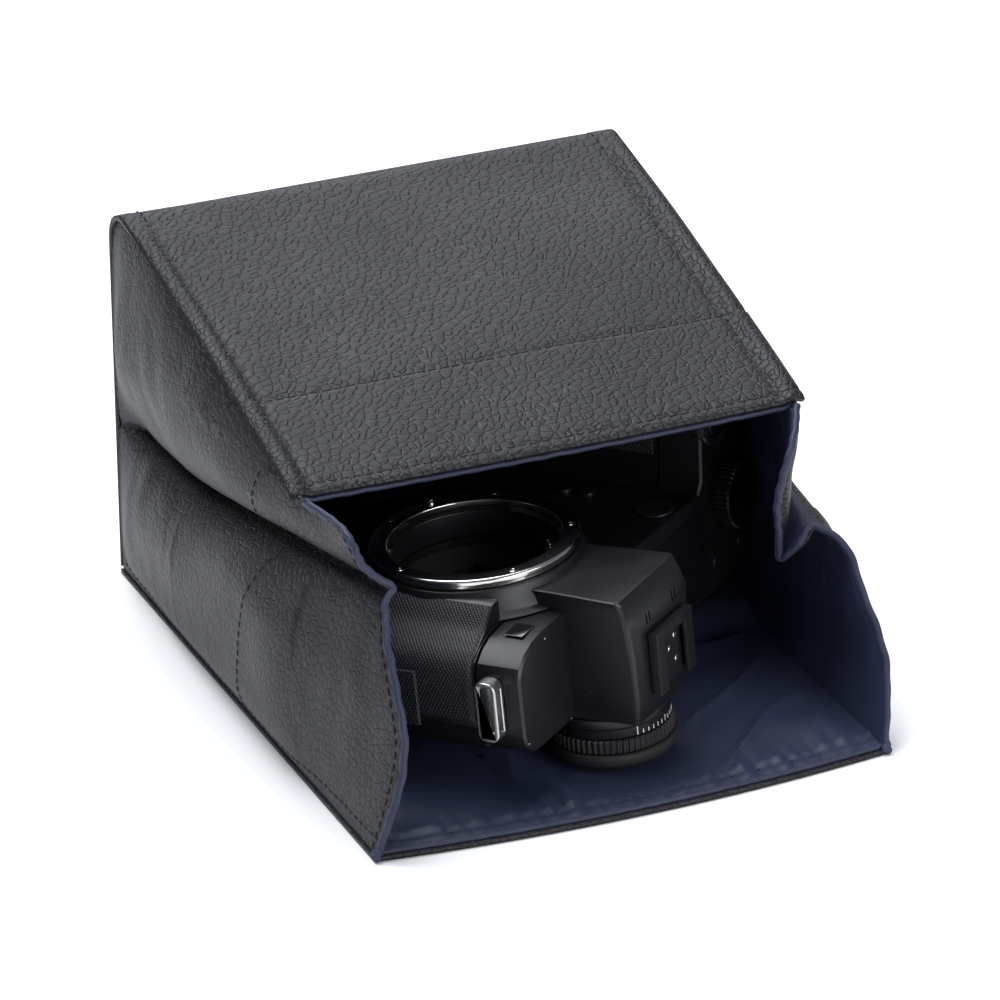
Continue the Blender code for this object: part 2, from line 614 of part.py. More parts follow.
def makeShoe(camera):
    half = shoeWidth / 2
    low, high = humpTop + GAP, humpTop + 3.3
    body = place(box("hot_shoe", (shoeX - half, low, -39.0), (shoeX + half, high, -19.5), "black_metal"), camera)
    for name, left, right, floor, top in (("shoe_slot", -6.4, 6.4, low + 0.7, high + 2),
                                          ("left_channel", -9.4, -6.3, low + 0.5, low + 1.9),
                                          ("right_channel", 6.3, 9.4, low + 0.5, low + 1.9)):
        well = box(name, (shoeX + left, floor, -44), (shoeX + right, top, -22.5), group=CUTTERS)
        cut(body, place(well, camera))


def makeFinder(camera):
    z = rearZ - GAP
    tall, ring = 6.2, 4.3           # the barrel's collar and the adjusting ring
    barrel = turned("eyepiece_barrel", [(13.0, 0), (18.2, 0), (18.2, -2.8), (17.7, -3.1), (17.7, -tall),
                                        (14.6, -tall), (14.6, -11.0), (13.0, -11.0)], "black_metal")
    place(barrel, camera, (eyeX, eyeY, z))
    place(turned("eyepiece_lens", [(0.0, -4.0), (12.6, -4.0), (12.6, -6.4), (8.0, -7.6), (0.0, -8.0)], "glass",
                 sides=32), camera, (eyeX, eyeY, z))
    place(knurled("diopter_ring", 18.6, ring, 60, 0.4, bore=15.0), camera, (eyeX, eyeY, z - tall - GAP - ring))
    low, high = eyeBack, z - tall - ring - 2 * GAP
    place(turned("eyecup", [(15.0, high), (19.0, high), (19.5, high - 1.2), (19.0, low + 0.5), (17.6, low),
                            (16.4, low), (15.6, low + 0.8), (15.0, low + 1.6)], "rubber"), camera, (eyeX, eyeY, 0))


def makeRear(camera):
    back = rearZ - 3.6
    cover = box("rear_cover", (-gripEnd + 9, baseY + 4, back), (lugEnd - 9, eyeY - 20.0, rearZ - GAP), "black_metal",
                round_=0.9, steps=1)
    place(cover, camera)
    (left, right), (bottom, top) = screenWindow
    cut(cover, place(box("screen_well", (left, bottom, back - 5), (right, top, rearZ - 1.4), group=CUTTERS), camera))
    place(box("rear_screen", (left + GAP, bottom + GAP, back + 0.2), (right - GAP, top - GAP, rearZ - 1.4 - GAP),
              "glass", round_=0.3, steps=1), camera)
    cut(cover, place(disc("rear_button_well", 4.0 + GAP, back - 5, rearZ - 1.2, group=CUTTERS, sides=24), camera,
                     (-54.0, -20, 0)))
    place(disc("rear_button", 4.0, travel, 2.8, "black_metal", sides=24, soft=0.4), camera,
          (-54.0, -20, rearZ - 1.2 - GAP), (180, 0, 0))
    cut(cover, place(disc("stick_well", 4.4, back - 5, rearZ - 1.0, group=CUTTERS, sides=20), camera,
                     (-60.0, 6.0, 0)))
    place(disc("joystick", 2.8, 0, 3.4, "rubber", sides=20, soft=0.6), camera, (-60.0, 6.0, rearZ - 1.0 - GAP),
          (180, 0, 0))
    at = (-82.0, 12.0, rearZ + 4.0)
    place(knurled("thumb_wheel", 8.2, 4.6, 30, 0.4), camera, at, (-90, 0, 0))
    well = box("wheel_well", (at[0] - 8.6, at[1] - GAP, rearZ - 8), (at[0] + 8.6, at[1] + 4.6 + GAP, at[2] + 8.6),
               group=CUTTERS)
    place(well, camera)
    for thing in (cover, bpy.data.objects["body_casing"]):
        cut(thing, well)


def makeBottom(camera):
    floor = place(plate("base_plate", bodyOutline(-0.4), baseY, baseY + 3.0 - GAP, "black_metal"), camera)
    roundCorners(camera, floor)
    cut(floor, place(box("hatch_cutter", (bayX[0], baseY - 5, bayZ[0]), (bayX[1], baseY + 5, bayZ[1]),
                         group=CUTTERS), camera))
    place(box("battery", (bayX[0] + GAP, baseY + GAP, bayZ[0] + GAP),
              (bayX[1] - GAP, baseY + batteryLength, bayZ[1] - GAP), "black_plastic", round_=1.0, steps=1), camera)
    cut(floor, place(disc("tripod_bore", 3.2, baseY - 3, baseY + 2.0, group=CUTTERS, axis="Y", sides=24), camera,
                     (0, 0, -28)))
    at = (-60.0, baseY + 1.2, -30)
    cut(floor, place(disc("latch_well", 5.0 + GAP, -1.2 - 3, 0, group=CUTTERS, axis="Y", sides=24), camera, at))
    latch = disc("battery_lever", 5.0, 0, 0.9, "black_metal", sides=24)
    place(latch, camera, (at[0], at[1] - GAP, at[2]), (90, 0, 0))
    tab = place(box("latch_tab", (-0.7, -4.4, -0.2), (0.7, 4.4, 1.1), group=CUTTERS), latch, (0, 0, 0.4))
    cut(latch, tab, "UNION")


def sleeve(name, path, camera, thickness, low, high):
    """A thin skin that follows part of the casing's outline."""
    outer, inner = path(GAP + thickness), path(GAP)
    skin = place(plate(name, outer + list(reversed(inner)), low, high, "leatherette"), camera)
    roundCorners(camera, skin, GAP + thickness)


def makeSkins(camera):
    def lugSide(g):
        start = math.degrees(math.asin(max(0.0, (skirtRadius + 0.6 - lugEnd + lugCorner) / lugCorner)))
        return lugCurve(g, (start, 44, 66, 88))

    def gripSide(g):
        return gripCurve(g)[1:8]

    low, high = baseY + 3.0 + cornerRadius, seamY - 1.0
    sleeve("left_leatherette", lugSide, camera, 0.7, low, high)
    sleeve("grip_leatherette", gripSide, camera, 0.7, low, high)
    place(box("port_cover", (0, -19, -8.8), (1.3, 19, 8.8), "rubber", round_=0.4, steps=1), camera,
          (lugEnd + GAP, -15, -30.5))
    place(box("card_door", (-1.2, -19, -12), (0, 19, 12), "black_metal", round_=0.4, steps=1), camera,
          (-gripEnd - GAP, -15, -23))


def makeLug(name, side, camera):
    """A strap lug: a long steel loop standing on the end of the casing."""
    long, wide, reach, rim = 19.0, 7.0, 5.0, 1.5
    bend = wide / 2 - 0.8
    outline = []
    for v, u, start in ((1, 1, 0), (-1, 1, 90), (-1, -1, 180), (1, -1, 270)):
        outline += arc((v * (long / 2 - bend), u * (wide / 2 - bend)), bend, start, start + 90, 4)
    ring = plate(name, [(u, v) for v, u in outline], 0, reach, "steel", plane="YZ")
    slot = box(name + "_slot", (1.4, -wide, -long / 2 + rim + 1.2), (reach - rim + 0.2, wide, long / 2 - rim - 1.2),
               group=CUTTERS)
    cut(ring, place(slot, ring))
    well = box(name + "_recess", (1.4, -wide / 2 + rim, -long / 2 + rim), (reach + 2, wide / 2 - rim, long / 2 - rim),
               group=CUTTERS)
    cut(ring, place(well, ring))
    place(ring, camera, (side * ((lugEnd if side > 0 else gripEnd) + GAP), 29.0, -29.5))
    if side < 0:
        ring.rotation_euler = (0, math.pi, 0)


def makeFrontTrim(camera):
    place(disc("front_disc", 5.9, frontZ + GAP, frontZ + GAP + 0.7, "disc", sides=36, soft=0.2), camera,
          (-53.9, 30.7, 0))
    place(box("focus_lamp", (-4.0, -3.0, 0), (4.0, 3.0, 0.6), "glass", round_=0.2, steps=1), camera,
          (31.5, 31.0, frontZ + GAP))


def makeCamera(pouch):
    camera = bpy.data.objects.new("camera_frame", None)
    link(camera)
    camera.parent = pouch
    camera.rotation_mode = "QUATERNION"
    stand = Matrix.Rotation(math.radians(cameraYaw), 3, "Z")
    lean = Matrix.Rotation(math.radians(cameraTilt), 3, "X") @ Matrix.Rotation(math.radians(cameraRoll), 3, "Y")
    camera.rotation_quaternion = (stand @ lean).to_quaternion()
    camera.location = Vector(cameraPlace) * MM
    makeCasing(camera)
    makeChassis(camera)
    makeMount(camera)
    makeTopCover(camera)
    makeTopControls(camera)
    makeShoe(camera)
    makeFinder(camera)
    makeRear(camera)
    makeBottom(camera)
    makeSkins(camera)
    makeLug("left_strap_lug", 1, camera)
    makeLug("right_strap_lug", -1, camera)
    makeFrontTrim(camera)


def main():
    clearScene()
    makeCamera(makePouch())
    bpy.context.view_layer.update()


main()
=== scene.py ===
# The look of a mirrorless camera body lying in an open fold-over leather pouch.
import json
import math
import random

import bmesh
import bpy
from mathutils import Matrix, Vector, noise


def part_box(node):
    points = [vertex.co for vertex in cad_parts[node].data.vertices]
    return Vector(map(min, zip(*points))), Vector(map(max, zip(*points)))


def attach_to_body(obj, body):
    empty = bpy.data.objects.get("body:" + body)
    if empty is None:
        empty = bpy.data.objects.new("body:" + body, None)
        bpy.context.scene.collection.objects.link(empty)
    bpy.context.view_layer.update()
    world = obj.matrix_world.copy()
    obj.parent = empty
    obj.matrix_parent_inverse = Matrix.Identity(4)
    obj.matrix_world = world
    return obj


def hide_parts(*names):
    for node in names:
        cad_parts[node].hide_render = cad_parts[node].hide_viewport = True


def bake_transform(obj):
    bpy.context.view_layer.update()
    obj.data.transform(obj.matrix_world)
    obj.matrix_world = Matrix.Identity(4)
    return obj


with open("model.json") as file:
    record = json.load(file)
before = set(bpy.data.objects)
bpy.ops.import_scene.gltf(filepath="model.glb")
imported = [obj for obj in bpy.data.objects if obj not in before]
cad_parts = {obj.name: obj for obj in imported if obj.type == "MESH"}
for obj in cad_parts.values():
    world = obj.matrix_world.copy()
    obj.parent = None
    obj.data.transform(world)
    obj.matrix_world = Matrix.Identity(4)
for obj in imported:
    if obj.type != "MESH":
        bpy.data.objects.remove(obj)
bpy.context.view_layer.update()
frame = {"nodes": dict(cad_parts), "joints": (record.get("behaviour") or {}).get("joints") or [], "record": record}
nodes = frame["nodes"]
mm = 0.001

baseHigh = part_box("base_panel")[1]
halfWidth = baseHigh.x / mm                     # from the pouch's middle to a side seam
depth = 215.0                                   # mouth to closed end
mouthY = baseHigh.y / mm - depth
joints = {j["name"]: j for j in frame["joints"]}
finderAt = (-0.6, 40.0, 0.0)                    # the eyepiece's axis, in the camera's own frame
ringDepth = -54.0                               # and how far along it the eyesight ring's pivot lies


def pouchPoint(x, y, z):                        # millimetres, y counted from the mouth
    return Vector((x, y + mouthY, z)) * mm


def cameraMatrix():                             # the camera's own frame: X lug end, Y up, Z out of the mount
    up = Vector(joints["top_dial_turn"]["axis"]).normalized()
    out = Vector(joints["diopter_turn"]["axis"]).normalized()
    side = up.cross(out)
    turn = Matrix((side, up, out)).transposed()
    pivot = Vector(joints["diopter_turn"]["pos_m"])
    origin = pivot - turn @ (Vector((finderAt[0], finderAt[1], ringDepth)) * mm)
    return Matrix.Translation(origin) @ turn.to_4x4()


toWorld = cameraMatrix()
fromWorld = toWorld.inverted()


def cameraPoint(x, y, z):
    return toWorld @ (Vector((x, y, z)) * mm)


def socketGroup(name, inputs, outputs):
    tree = bpy.data.node_groups.new(name, "ShaderNodeTree")
    for label, kind, value in inputs:
        made = tree.interface.new_socket(label, in_out="INPUT", socket_type=kind)
        if value is not None:
            made.default_value = value
    for label, kind in outputs:
        tree.interface.new_socket(label, in_out="OUTPUT", socket_type=kind)
    return tree, tree.nodes.new("NodeGroupInput"), tree.nodes.new("NodeGroupOutput")


def addNode(tree, kind, links=(), **values):
    node = tree.nodes.new(kind)
    for key, value in values.items():
        setattr(node, key, value)
    for socket, source in links:
        if hasattr(source, "is_linked"):
            tree.links.new(source, node.inputs[socket])
        else:
            node.inputs[socket].default_value = source
    return node


def pebbleGroup():                              # large soft pebbles with creases between them, and a mask for painted shade in those creases
    tree, entry, leave = socketGroup("pebbleGrain", [
        ("Vector", "NodeSocketVector", None), ("Scale", "NodeSocketFloat", 330.0),
        ("Warp", "NodeSocketFloat", 0.0007)], [
        ("Height", "NodeSocketFloat"), ("CreaseShade", "NodeSocketFloat"), ("Patch", "NodeSocketFloat")])
    point, scale = entry.outputs["Vector"], entry.outputs["Scale"]
    wander = addNode(tree, "ShaderNodeTexNoise", [("Vector", point), ("Scale", 240.0), ("Detail", 2.0)])
    centred = addNode(tree, "ShaderNodeVectorMath", [(0, wander.outputs["Color"]), (1, (0.5, 0.5, 0.5))],
                      operation="SUBTRACT")
    shifted = addNode(tree, "ShaderNodeVectorMath", [(0, centred.outputs[0]), (3, entry.outputs["Warp"])],
                      operation="SCALE")
    moved = addNode(tree, "ShaderNodeVectorMath", [(0, point), (1, shifted.outputs[0])], operation="ADD")
    edge = addNode(tree, "ShaderNodeTexVoronoi", [("Vector", moved.outputs[0]), ("Scale", scale)],
                   feature="DISTANCE_TO_EDGE")
    cell = addNode(tree, "ShaderNodeTexVoronoi", [("Vector", moved.outputs[0]), ("Scale", scale)],
                   feature="F1")
    groove = addNode(tree, "ShaderNodeMapRange", [("Value", edge.outputs["Distance"]), ("From Min", 0.0),
                                                  ("From Max", 0.14), ("To Min", 0.0), ("To Max", 1.0)],
                     interpolation_type="SMOOTHSTEP")
    dome = addNode(tree, "ShaderNodeMath", [(0, cell.outputs["Distance"]), (1, -0.7)], operation="MULTIPLY")
    body = addNode(tree, "ShaderNodeMath", [(0, groove.outputs[0]), (1, dome.outputs[0])], operation="ADD")
    fine = addNode(tree, "ShaderNodeTexNoise", [("Vector", point), ("Scale", 2600.0), ("Detail", 2.0)])
    pores = addNode(tree, "ShaderNodeMath", [(0, fine.outputs["Fac"]), (1, 0.10)], operation="MULTIPLY")
    height = addNode(tree, "ShaderNodeMath", [(0, body.outputs[0]), (1, pores.outputs[0])], operation="ADD")
    # mask for painted shade: the grooves between the pebbles are later coloured darker
    crease = addNode(tree, "ShaderNodeMath", [(0, 1.0), (1, groove.outputs[0])], operation="SUBTRACT")
    patch = addNode(tree, "ShaderNodeTexNoise", [("Vector", point), ("Scale", 24.0), ("Detail", 3.0)])
    tree.links.new(height.outputs[0], leave.inputs["Height"])
    tree.links.new(crease.outputs[0], leave.inputs["CreaseShade"])
    tree.links.new(patch.outputs["Fac"], leave.inputs["Patch"])
    return tree


def speckGroup():                               # fine dust and handling marks on hard parts
    tree, entry, leave = socketGroup("surfaceSpeck", [
        ("Vector", "NodeSocketVector", None), ("Grain", "NodeSocketFloat", 3500.0)], [
        ("Height", "NodeSocketFloat"), ("Smudge", "NodeSocketFloat"), ("Dust", "NodeSocketFloat")])
    point = entry.outputs["Vector"]
    grain = addNode(tree, "ShaderNodeTexNoise", [("Vector", point), ("Scale", entry.outputs["Grain"]),
                                                 ("Detail", 1.0)])
    smudge = addNode(tree, "ShaderNodeTexNoise", [("Vector", point), ("Scale", 60.0), ("Detail", 4.0)])
    spots = addNode(tree, "ShaderNodeTexVoronoi", [("Vector", point), ("Scale", 190.0)], feature="F1")
    dust = addNode(tree, "ShaderNodeMapRange", [("Value", spots.outputs["Distance"]), ("From Min", 0.0),
                                                ("From Max", 0.05), ("To Min", 1.0), ("To Max", 0.0)])
    tree.links.new(grain.outputs["Fac"], leave.inputs["Height"])
    tree.links.new(smudge.outputs["Fac"], leave.inputs["Smudge"])
    tree.links.new(dust.outputs[0], leave.inputs["Dust"])
    return tree


def weaveGroup():                               # crossing threads, for cloth
    tree, entry, leave = socketGroup("threadWeave", [
        ("Vector", "NodeSocketVector", None), ("Threads", "NodeSocketFloat", 900.0)], [
        ("Height", "NodeSocketFloat"), ("Patch", "NodeSocketFloat")])
    point = entry.outputs["Vector"]
    waves = []
    for axis in ("DIAGONAL", "Y"):
        wave = addNode(tree, "ShaderNodeTexWave", [("Vector", point), ("Scale", entry.outputs["Threads"]),
                                                   ("Distortion", 0.4)], bands_direction=axis)
        waves.append(wave)
    both = addNode(tree, "ShaderNodeMath", [(0, waves[0].outputs["Fac"]), (1, waves[1].outputs["Fac"])],
                   operation="MULTIPLY")
    patch = addNode(tree, "ShaderNodeTexNoise", [("Vector", point), ("Scale", 45.0), ("Detail", 4.0)])
    tree.links.new(both.outputs[0], leave.inputs["Height"])
    tree.links.new(patch.outputs["Fac"], leave.inputs["Patch"])
    return tree


groups = {"pebble": pebbleGroup(), "speck": speckGroup(), "weave": weaveGroup()}


def startMaterial(name, roughness=0.5, metallic=0.0, **plain):
    made = bpy.data.materials.new(name)
    made.use_nodes = True
    tree = made.node_tree
    shader = tree.nodes["Principled BSDF"]
    shader.inputs["Roughness"].default_value = roughness
    shader.inputs["Metallic"].default_value = metallic
    for key, value in plain.items():
        shader.inputs[key.replace("_", " ")].default_value = value
    place = addNode(tree, "ShaderNodeTexCoord")
    return made, tree, shader, place.outputs["Object"]


def useGroup(tree, name, point, **values):
    node = tree.nodes.new("ShaderNodeGroup")
    node.node_tree = groups[name]
    tree.links.new(point, node.inputs["Vector"])
    for key, value in values.items():
        node.inputs[key].default_value = value
    return node


def mixColour(tree, factor, first, second):
    return addNode(tree, "ShaderNodeMix", [(0, factor), (6, first), (7, second)], data_type="RGBA").outputs[2]


def spread(tree, value, low, high):             # a 0..1 value spread between two numbers
    return addNode(tree, "ShaderNodeMapRange", [("Value", value), ("From Min", 0.25), ("From Max", 0.75),
                                                ("To Min", low), ("To Max", high)]).outputs[0]


def bump(tree, shader, height, strength, distance):
    node = addNode(tree, "ShaderNodeBump", [("Height", height), ("Strength", strength),
                                            ("Distance", distance)])
    tree.links.new(node.outputs[0], shader.inputs["Normal"])


# dark is painted shade, the colour put into the creases between the pebbles
leatherLook = {"light": (0.0095, 0.0098, 0.0135, 1), "dark": (0.0025, 0.0025, 0.0035, 1),
               "rough": (0.42, 0.54), "pebble": 400.0, "depth": 0.00018}


def leatherMaterial(name, look):
    made, tree, shader, point = startMaterial(name, Specular_IOR_Level=0.36)
    spaced = addNode(tree, "ShaderNodeMapping", [("Vector", point), ("Scale", (0.92, 1.04, 1.04))]).outputs[0]
    grain = useGroup(tree, "pebble", spaced, Scale=look["pebble"])
    worn = mixColour(tree, spread(tree, grain.outputs["Patch"], 0.0, 0.5), look["light"],
                     tuple(c * 0.7 for c in look["light"][:3]) + (1,))
    # painted shade: the creases are coloured dark where the grooves fall into shade
    tree.links.new(mixColour(tree, grain.outputs["CreaseShade"], worn, look["dark"]), shader.inputs["Base Color"])
    tree.links.new(spread(tree, grain.outputs["Patch"], *look["rough"]), shader.inputs["Roughness"])
    bump(tree, shader, grain.outputs["Height"], 0.85, look["depth"])
    return made


liningLook = {"light": (0.020, 0.027, 0.060, 1), "dark": (0.010, 0.014, 0.034, 1), "threads": 620.0}


def liningMaterial(name, look):
    made, tree, shader, point = startMaterial(name, 0.5, Sheen_Weight=0.12, Sheen_Roughness=0.4,
                                              Specular_IOR_Level=0.4)
    shader.inputs["Sheen Tint"].default_value = (0.35, 0.45, 0.9, 1)
    cloth = useGroup(tree, "weave", point, Threads=look["threads"])
    tree.links.new(mixColour(tree, cloth.outputs["Patch"], look["light"], look["dark"]),
                   shader.inputs["Base Color"])
    tree.links.new(spread(tree, cloth.outputs["Patch"], 0.45, 0.62), shader.inputs["Roughness"])
    bump(tree, shader, cloth.outputs["Height"], 0.35, 0.00012)
    return made


def hardMaterial(name, colour, rough, metallic=0.0, grain=3500.0, relief=0.00003, dust=0.0, **plain):
    made, tree, shader, point = startMaterial(name, rough, metallic, **plain)
    speck = useGroup(tree, "speck", point, Grain=grain)
    tint = mixColour(tree, speck.outputs["Smudge"], tuple(c * 1.15 for c in colour) + (1,),
                     tuple(c * 0.85 for c in colour) + (1,))
    if dust:
        amount = addNode(tree, "ShaderNodeMath", [(0, speck.outputs["Dust"]), (1, dust)],
                         operation="MULTIPLY")
        tint = mixColour(tree, amount.outputs[0], tint, (0.5, 0.5, 0.5, 1))
    tree.links.new(tint, shader.inputs["Base Color"])
    tree.links.new(spread(tree, speck.outputs["Smudge"], rough * 0.85, rough * 1.15),
                   shader.inputs["Roughness"])
    bump(tree, shader, speck.outputs["Height"], 0.4, relief)
    return made


gripLook = {"pitch": 1.15, "colour": (0.016, 0.016, 0.018), "depth": 0.00022}


def gripMaterial(name, look):                   # small raised lozenges in slanting rows round the camera
    made, tree, shader, point = startMaterial(name, 0.5, Specular_IOR_Level=0.45)
    turned = addNode(tree, "ShaderNodeMapping", [("Vector", point)])
    turned.inputs["Rotation"].default_value = toWorld.to_3x3().transposed().to_euler()
    parts = addNode(tree, "ShaderNodeSeparateXYZ", [(0, turned.outputs[0])])
    around = addNode(tree, "ShaderNodeMath", [(0, parts.outputs["X"]), (1, parts.outputs["Z"])],
                     operation="SUBTRACT")
    rate = 2 * math.pi / (look["pitch"] * mm)
    ridges = []
    for slant in (0.55, -0.55):
        lean = addNode(tree, "ShaderNodeMath", [(0, around.outputs[0]), (1, slant)], operation="MULTIPLY")
        line = addNode(tree, "ShaderNodeMath", [(0, parts.outputs["Y"]), (1, lean.outputs[0])],
                       operation="ADD")
        phase = addNode(tree, "ShaderNodeMath", [(0, line.outputs[0]), (1, rate)], operation="MULTIPLY")
        wave = addNode(tree, "ShaderNodeMath", [(0, phase.outputs[0])], operation="SINE")
        ridges.append(addNode(tree, "ShaderNodeMath", [(0, wave.outputs[0]), (1, 0.5), (2, 0.5)],
                              operation="MULTIPLY_ADD"))
    lozenge = addNode(tree, "ShaderNodeMath", [(0, ridges[0].outputs[0]), (1, ridges[1].outputs[0])],
                      operation="MULTIPLY")
    speck = useGroup(tree, "speck", point, Grain=2500.0)
    # painted shade and painted highlight: the grooves between the lozenges are coloured darker and the raised
    # lozenges lighter
    low = tuple(c * 0.45 for c in look["colour"]) + (1,)
    tree.links.new(mixColour(tree, lozenge.outputs[0], low, tuple(c * 1.5 for c in look["colour"]) + (1,)),
                   shader.inputs["Base Color"])
    tree.links.new(spread(tree, speck.outputs["Smudge"], 0.42, 0.6), shader.inputs["Roughness"])
    bump(tree, shader, lozenge.outputs[0], 0.9, look["depth"])
    return made


def glassMaterial(name):
    made, tree, shader, point = startMaterial(name, 0.03, Transmission_Weight=0.6, IOR=1.5)
    speck = useGroup(tree, "speck", point)
    tree.links.new(mixColour(tree, speck.outputs["Smudge"], (0.02, 0.02, 0.03, 1), (0.03, 0.025, 0.04, 1)),
                   shader.inputs["Base Color"])
    return made


materials = {
    "leather": leatherMaterial("pebbledLeather", leatherLook),
    "lining": liningMaterial("navyLining", liningLook),
    "thread": hardMaterial("blackThread", (0.006, 0.006, 0.008), 0.6, grain=6000.0, relief=0.0001),
    "navyThread": hardMaterial("navyThread", (0.016, 0.022, 0.06), 0.6, grain=6000.0, relief=0.0001),
    "foam": hardMaterial("foamPad", (0.05, 0.05, 0.055), 0.9, grain=900.0, relief=0.0004),
    "black_metal": hardMaterial("satinBlack", (0.0065, 0.0065, 0.0085), 0.38, 0.2, dust=0.25,
                                Specular_IOR_Level=0.5),
    "leatherette": gripMaterial("gripCovering", gripLook),
    "steel": hardMaterial("polishedSteel", (0.66, 0.65, 0.63), 0.16, 1.0, relief=0.00001),
    "brushed": hardMaterial("satinSteel", (0.52, 0.52, 0.52), 0.30, 1.0, relief=0.00002),
    "rubber": hardMaterial("mattRubber", (0.010, 0.010, 0.011), 0.72, relief=0.00005),
    "black_plastic": hardMaterial("mattPlastic", (0.008, 0.008, 0.009), 0.5),
    "display": hardMaterial("darkWindow", (0.006, 0.006, 0.008), 0.08, dust=0.15, Coat_Weight=0.5),
    "gold": hardMaterial("goldContacts", (0.83, 0.55, 0.22), 0.25, 1.0),
    "sensor_glass": hardMaterial("sensorFilter", (0.012, 0.008, 0.02), 0.05, Coat_Weight=1.0),
    "disc": hardMaterial("plainDisc", (0.05, 0.05, 0.055), 0.28, 0.8),
    "white": hardMaterial("scaleWhite", (0.75, 0.75, 0.73), 0.5),
    "red": hardMaterial("indexRed", (0.5, 0.02, 0.02), 0.4),
    "optical_glass": glassMaterial("coatedGlass"),
}
print("materials made")


def finishPiece(name, mesh, look, smooth=40, replaced=()):
    data = bpy.data.meshes.new(name)
    mesh.to_mesh(data)
    mesh.free()
    piece = bpy.data.objects.new(name, data)
    bpy.context.scene.collection.objects.link(piece)
    data.materials.append(materials[look])
    data.shade_smooth()
    if smooth < 180:
        data.set_sharp_from_angle(angle=math.radians(smooth))
    if replaced:
        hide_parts(*replaced)
    return piece


def evenShading(piece):                         # flat faces stay flat and the rounded edges carry the light
    made = piece.modifiers.new("shading", "WEIGHTED_NORMAL")
    made.keep_sharp = True
    made.weight = 60
    applyModifiers(piece)
    return piece


def addSolidify(piece, thickness, offset=-1.0):
    made = piece.modifiers.new("thickness", "SOLIDIFY")
    made.thickness = thickness * mm
    made.offset = offset
    made.use_even_offset = False
    applyModifiers(piece)
    return piece


def applyModifiers(piece):
    depsgraph = bpy.context.evaluated_depsgraph_get()
    data = bpy.data.meshes.new_from_object(piece.evaluated_get(depsgraph))
    piece.modifiers.clear()
    old = piece.data
    piece.data = data
    bpy.data.meshes.remove(old)


def sheetMesh(across, along, pointAt, outward):
    mesh = bmesh.new()                          # a grid laid over a surface, its faces on the outward side
    bmesh.ops.create_grid(mesh, x_segments=across, y_segments=along, size=0.5)
    for v in mesh.verts:
        v.co = pointAt(v.co.x + 0.5, v.co.y + 0.5)
    mesh.normal_update()
    if sum(f.normal.dot(outward) for f in mesh.faces) < 0:
        bmesh.ops.reverse_faces(mesh, faces=mesh.faces)
    return mesh


def curveThrough(points, t):
    count = len(points) - 1                     # a smooth curve through points, t from 0 to 1
    place = min(max(t, 0.0), 1.0) * count
    i = min(int(place), count - 1)
    f = place - i
    a = points[max(i - 1, 0)]
    b, c = points[i], points[i + 1]
    d = points[min(i + 2, count)]
    return tuple(0.5 * (2 * q + (r - p) * f + (2 * p - 5 * q + 4 * r - s) * f * f
                        + (3 * q - p - 3 * r + s) * f ** 3) for p, q, r, s in zip(a, b, c, d))


def ripple(x, y, z, size, seed=0.0):            # smooth noise between -1 and 1
    return noise.noise(Vector((x / size, y / size, z / size + seed)))


roof = {"front": 58.0, "frontHeight": 91.0, "ridge": 199.0, "top": 125.5, "radius": 11.0, "arch": 1.5,
        "lean": 5.0 / 114.5, "backDrop": 112.4}
pitch = math.atan2(roof["ridge"] - roof["front"], roof["frontHeight"] - roof["top"])
slopeY = roof["ridge"] + roof["radius"] * math.cos(pitch) - roof["front"]
slopeZ = roof["top"] + roof["radius"] * (math.sin(pitch) - 1) - roof["frontHeight"]
slope = math.hypot(slopeY, slopeZ)
backTilt = math.atan(roof["lean"])
roofLength = slope + roof["radius"] * (pitch - backTilt) + roof["backDrop"]


def roofPath(distance):                         # y, z, and the outward direction, along the one long panel
    if distance <= slope:
        t = distance / slope
        lift = roof["arch"] * math.sin(math.pi * t)
        return (roof["front"] + slopeY * t, roof["frontHeight"] + slopeZ * t + lift,
                -slopeZ / slope, slopeY / slope)
    rest = distance - slope
    bend = roof["radius"] * (pitch - backTilt)
    angle = pitch - min(rest, bend) / roof["radius"]
    fall = max(0.0, rest - bend)                # below the bend the panel runs straight down the back
    outY, outZ = math.cos(angle), math.sin(angle)
    return (roof["ridge"] + roof["radius"] * outY + roof["lean"] * fall,
            roof["top"] - roof["radius"] + roof["radius"] * outZ - fall, outY, outZ)


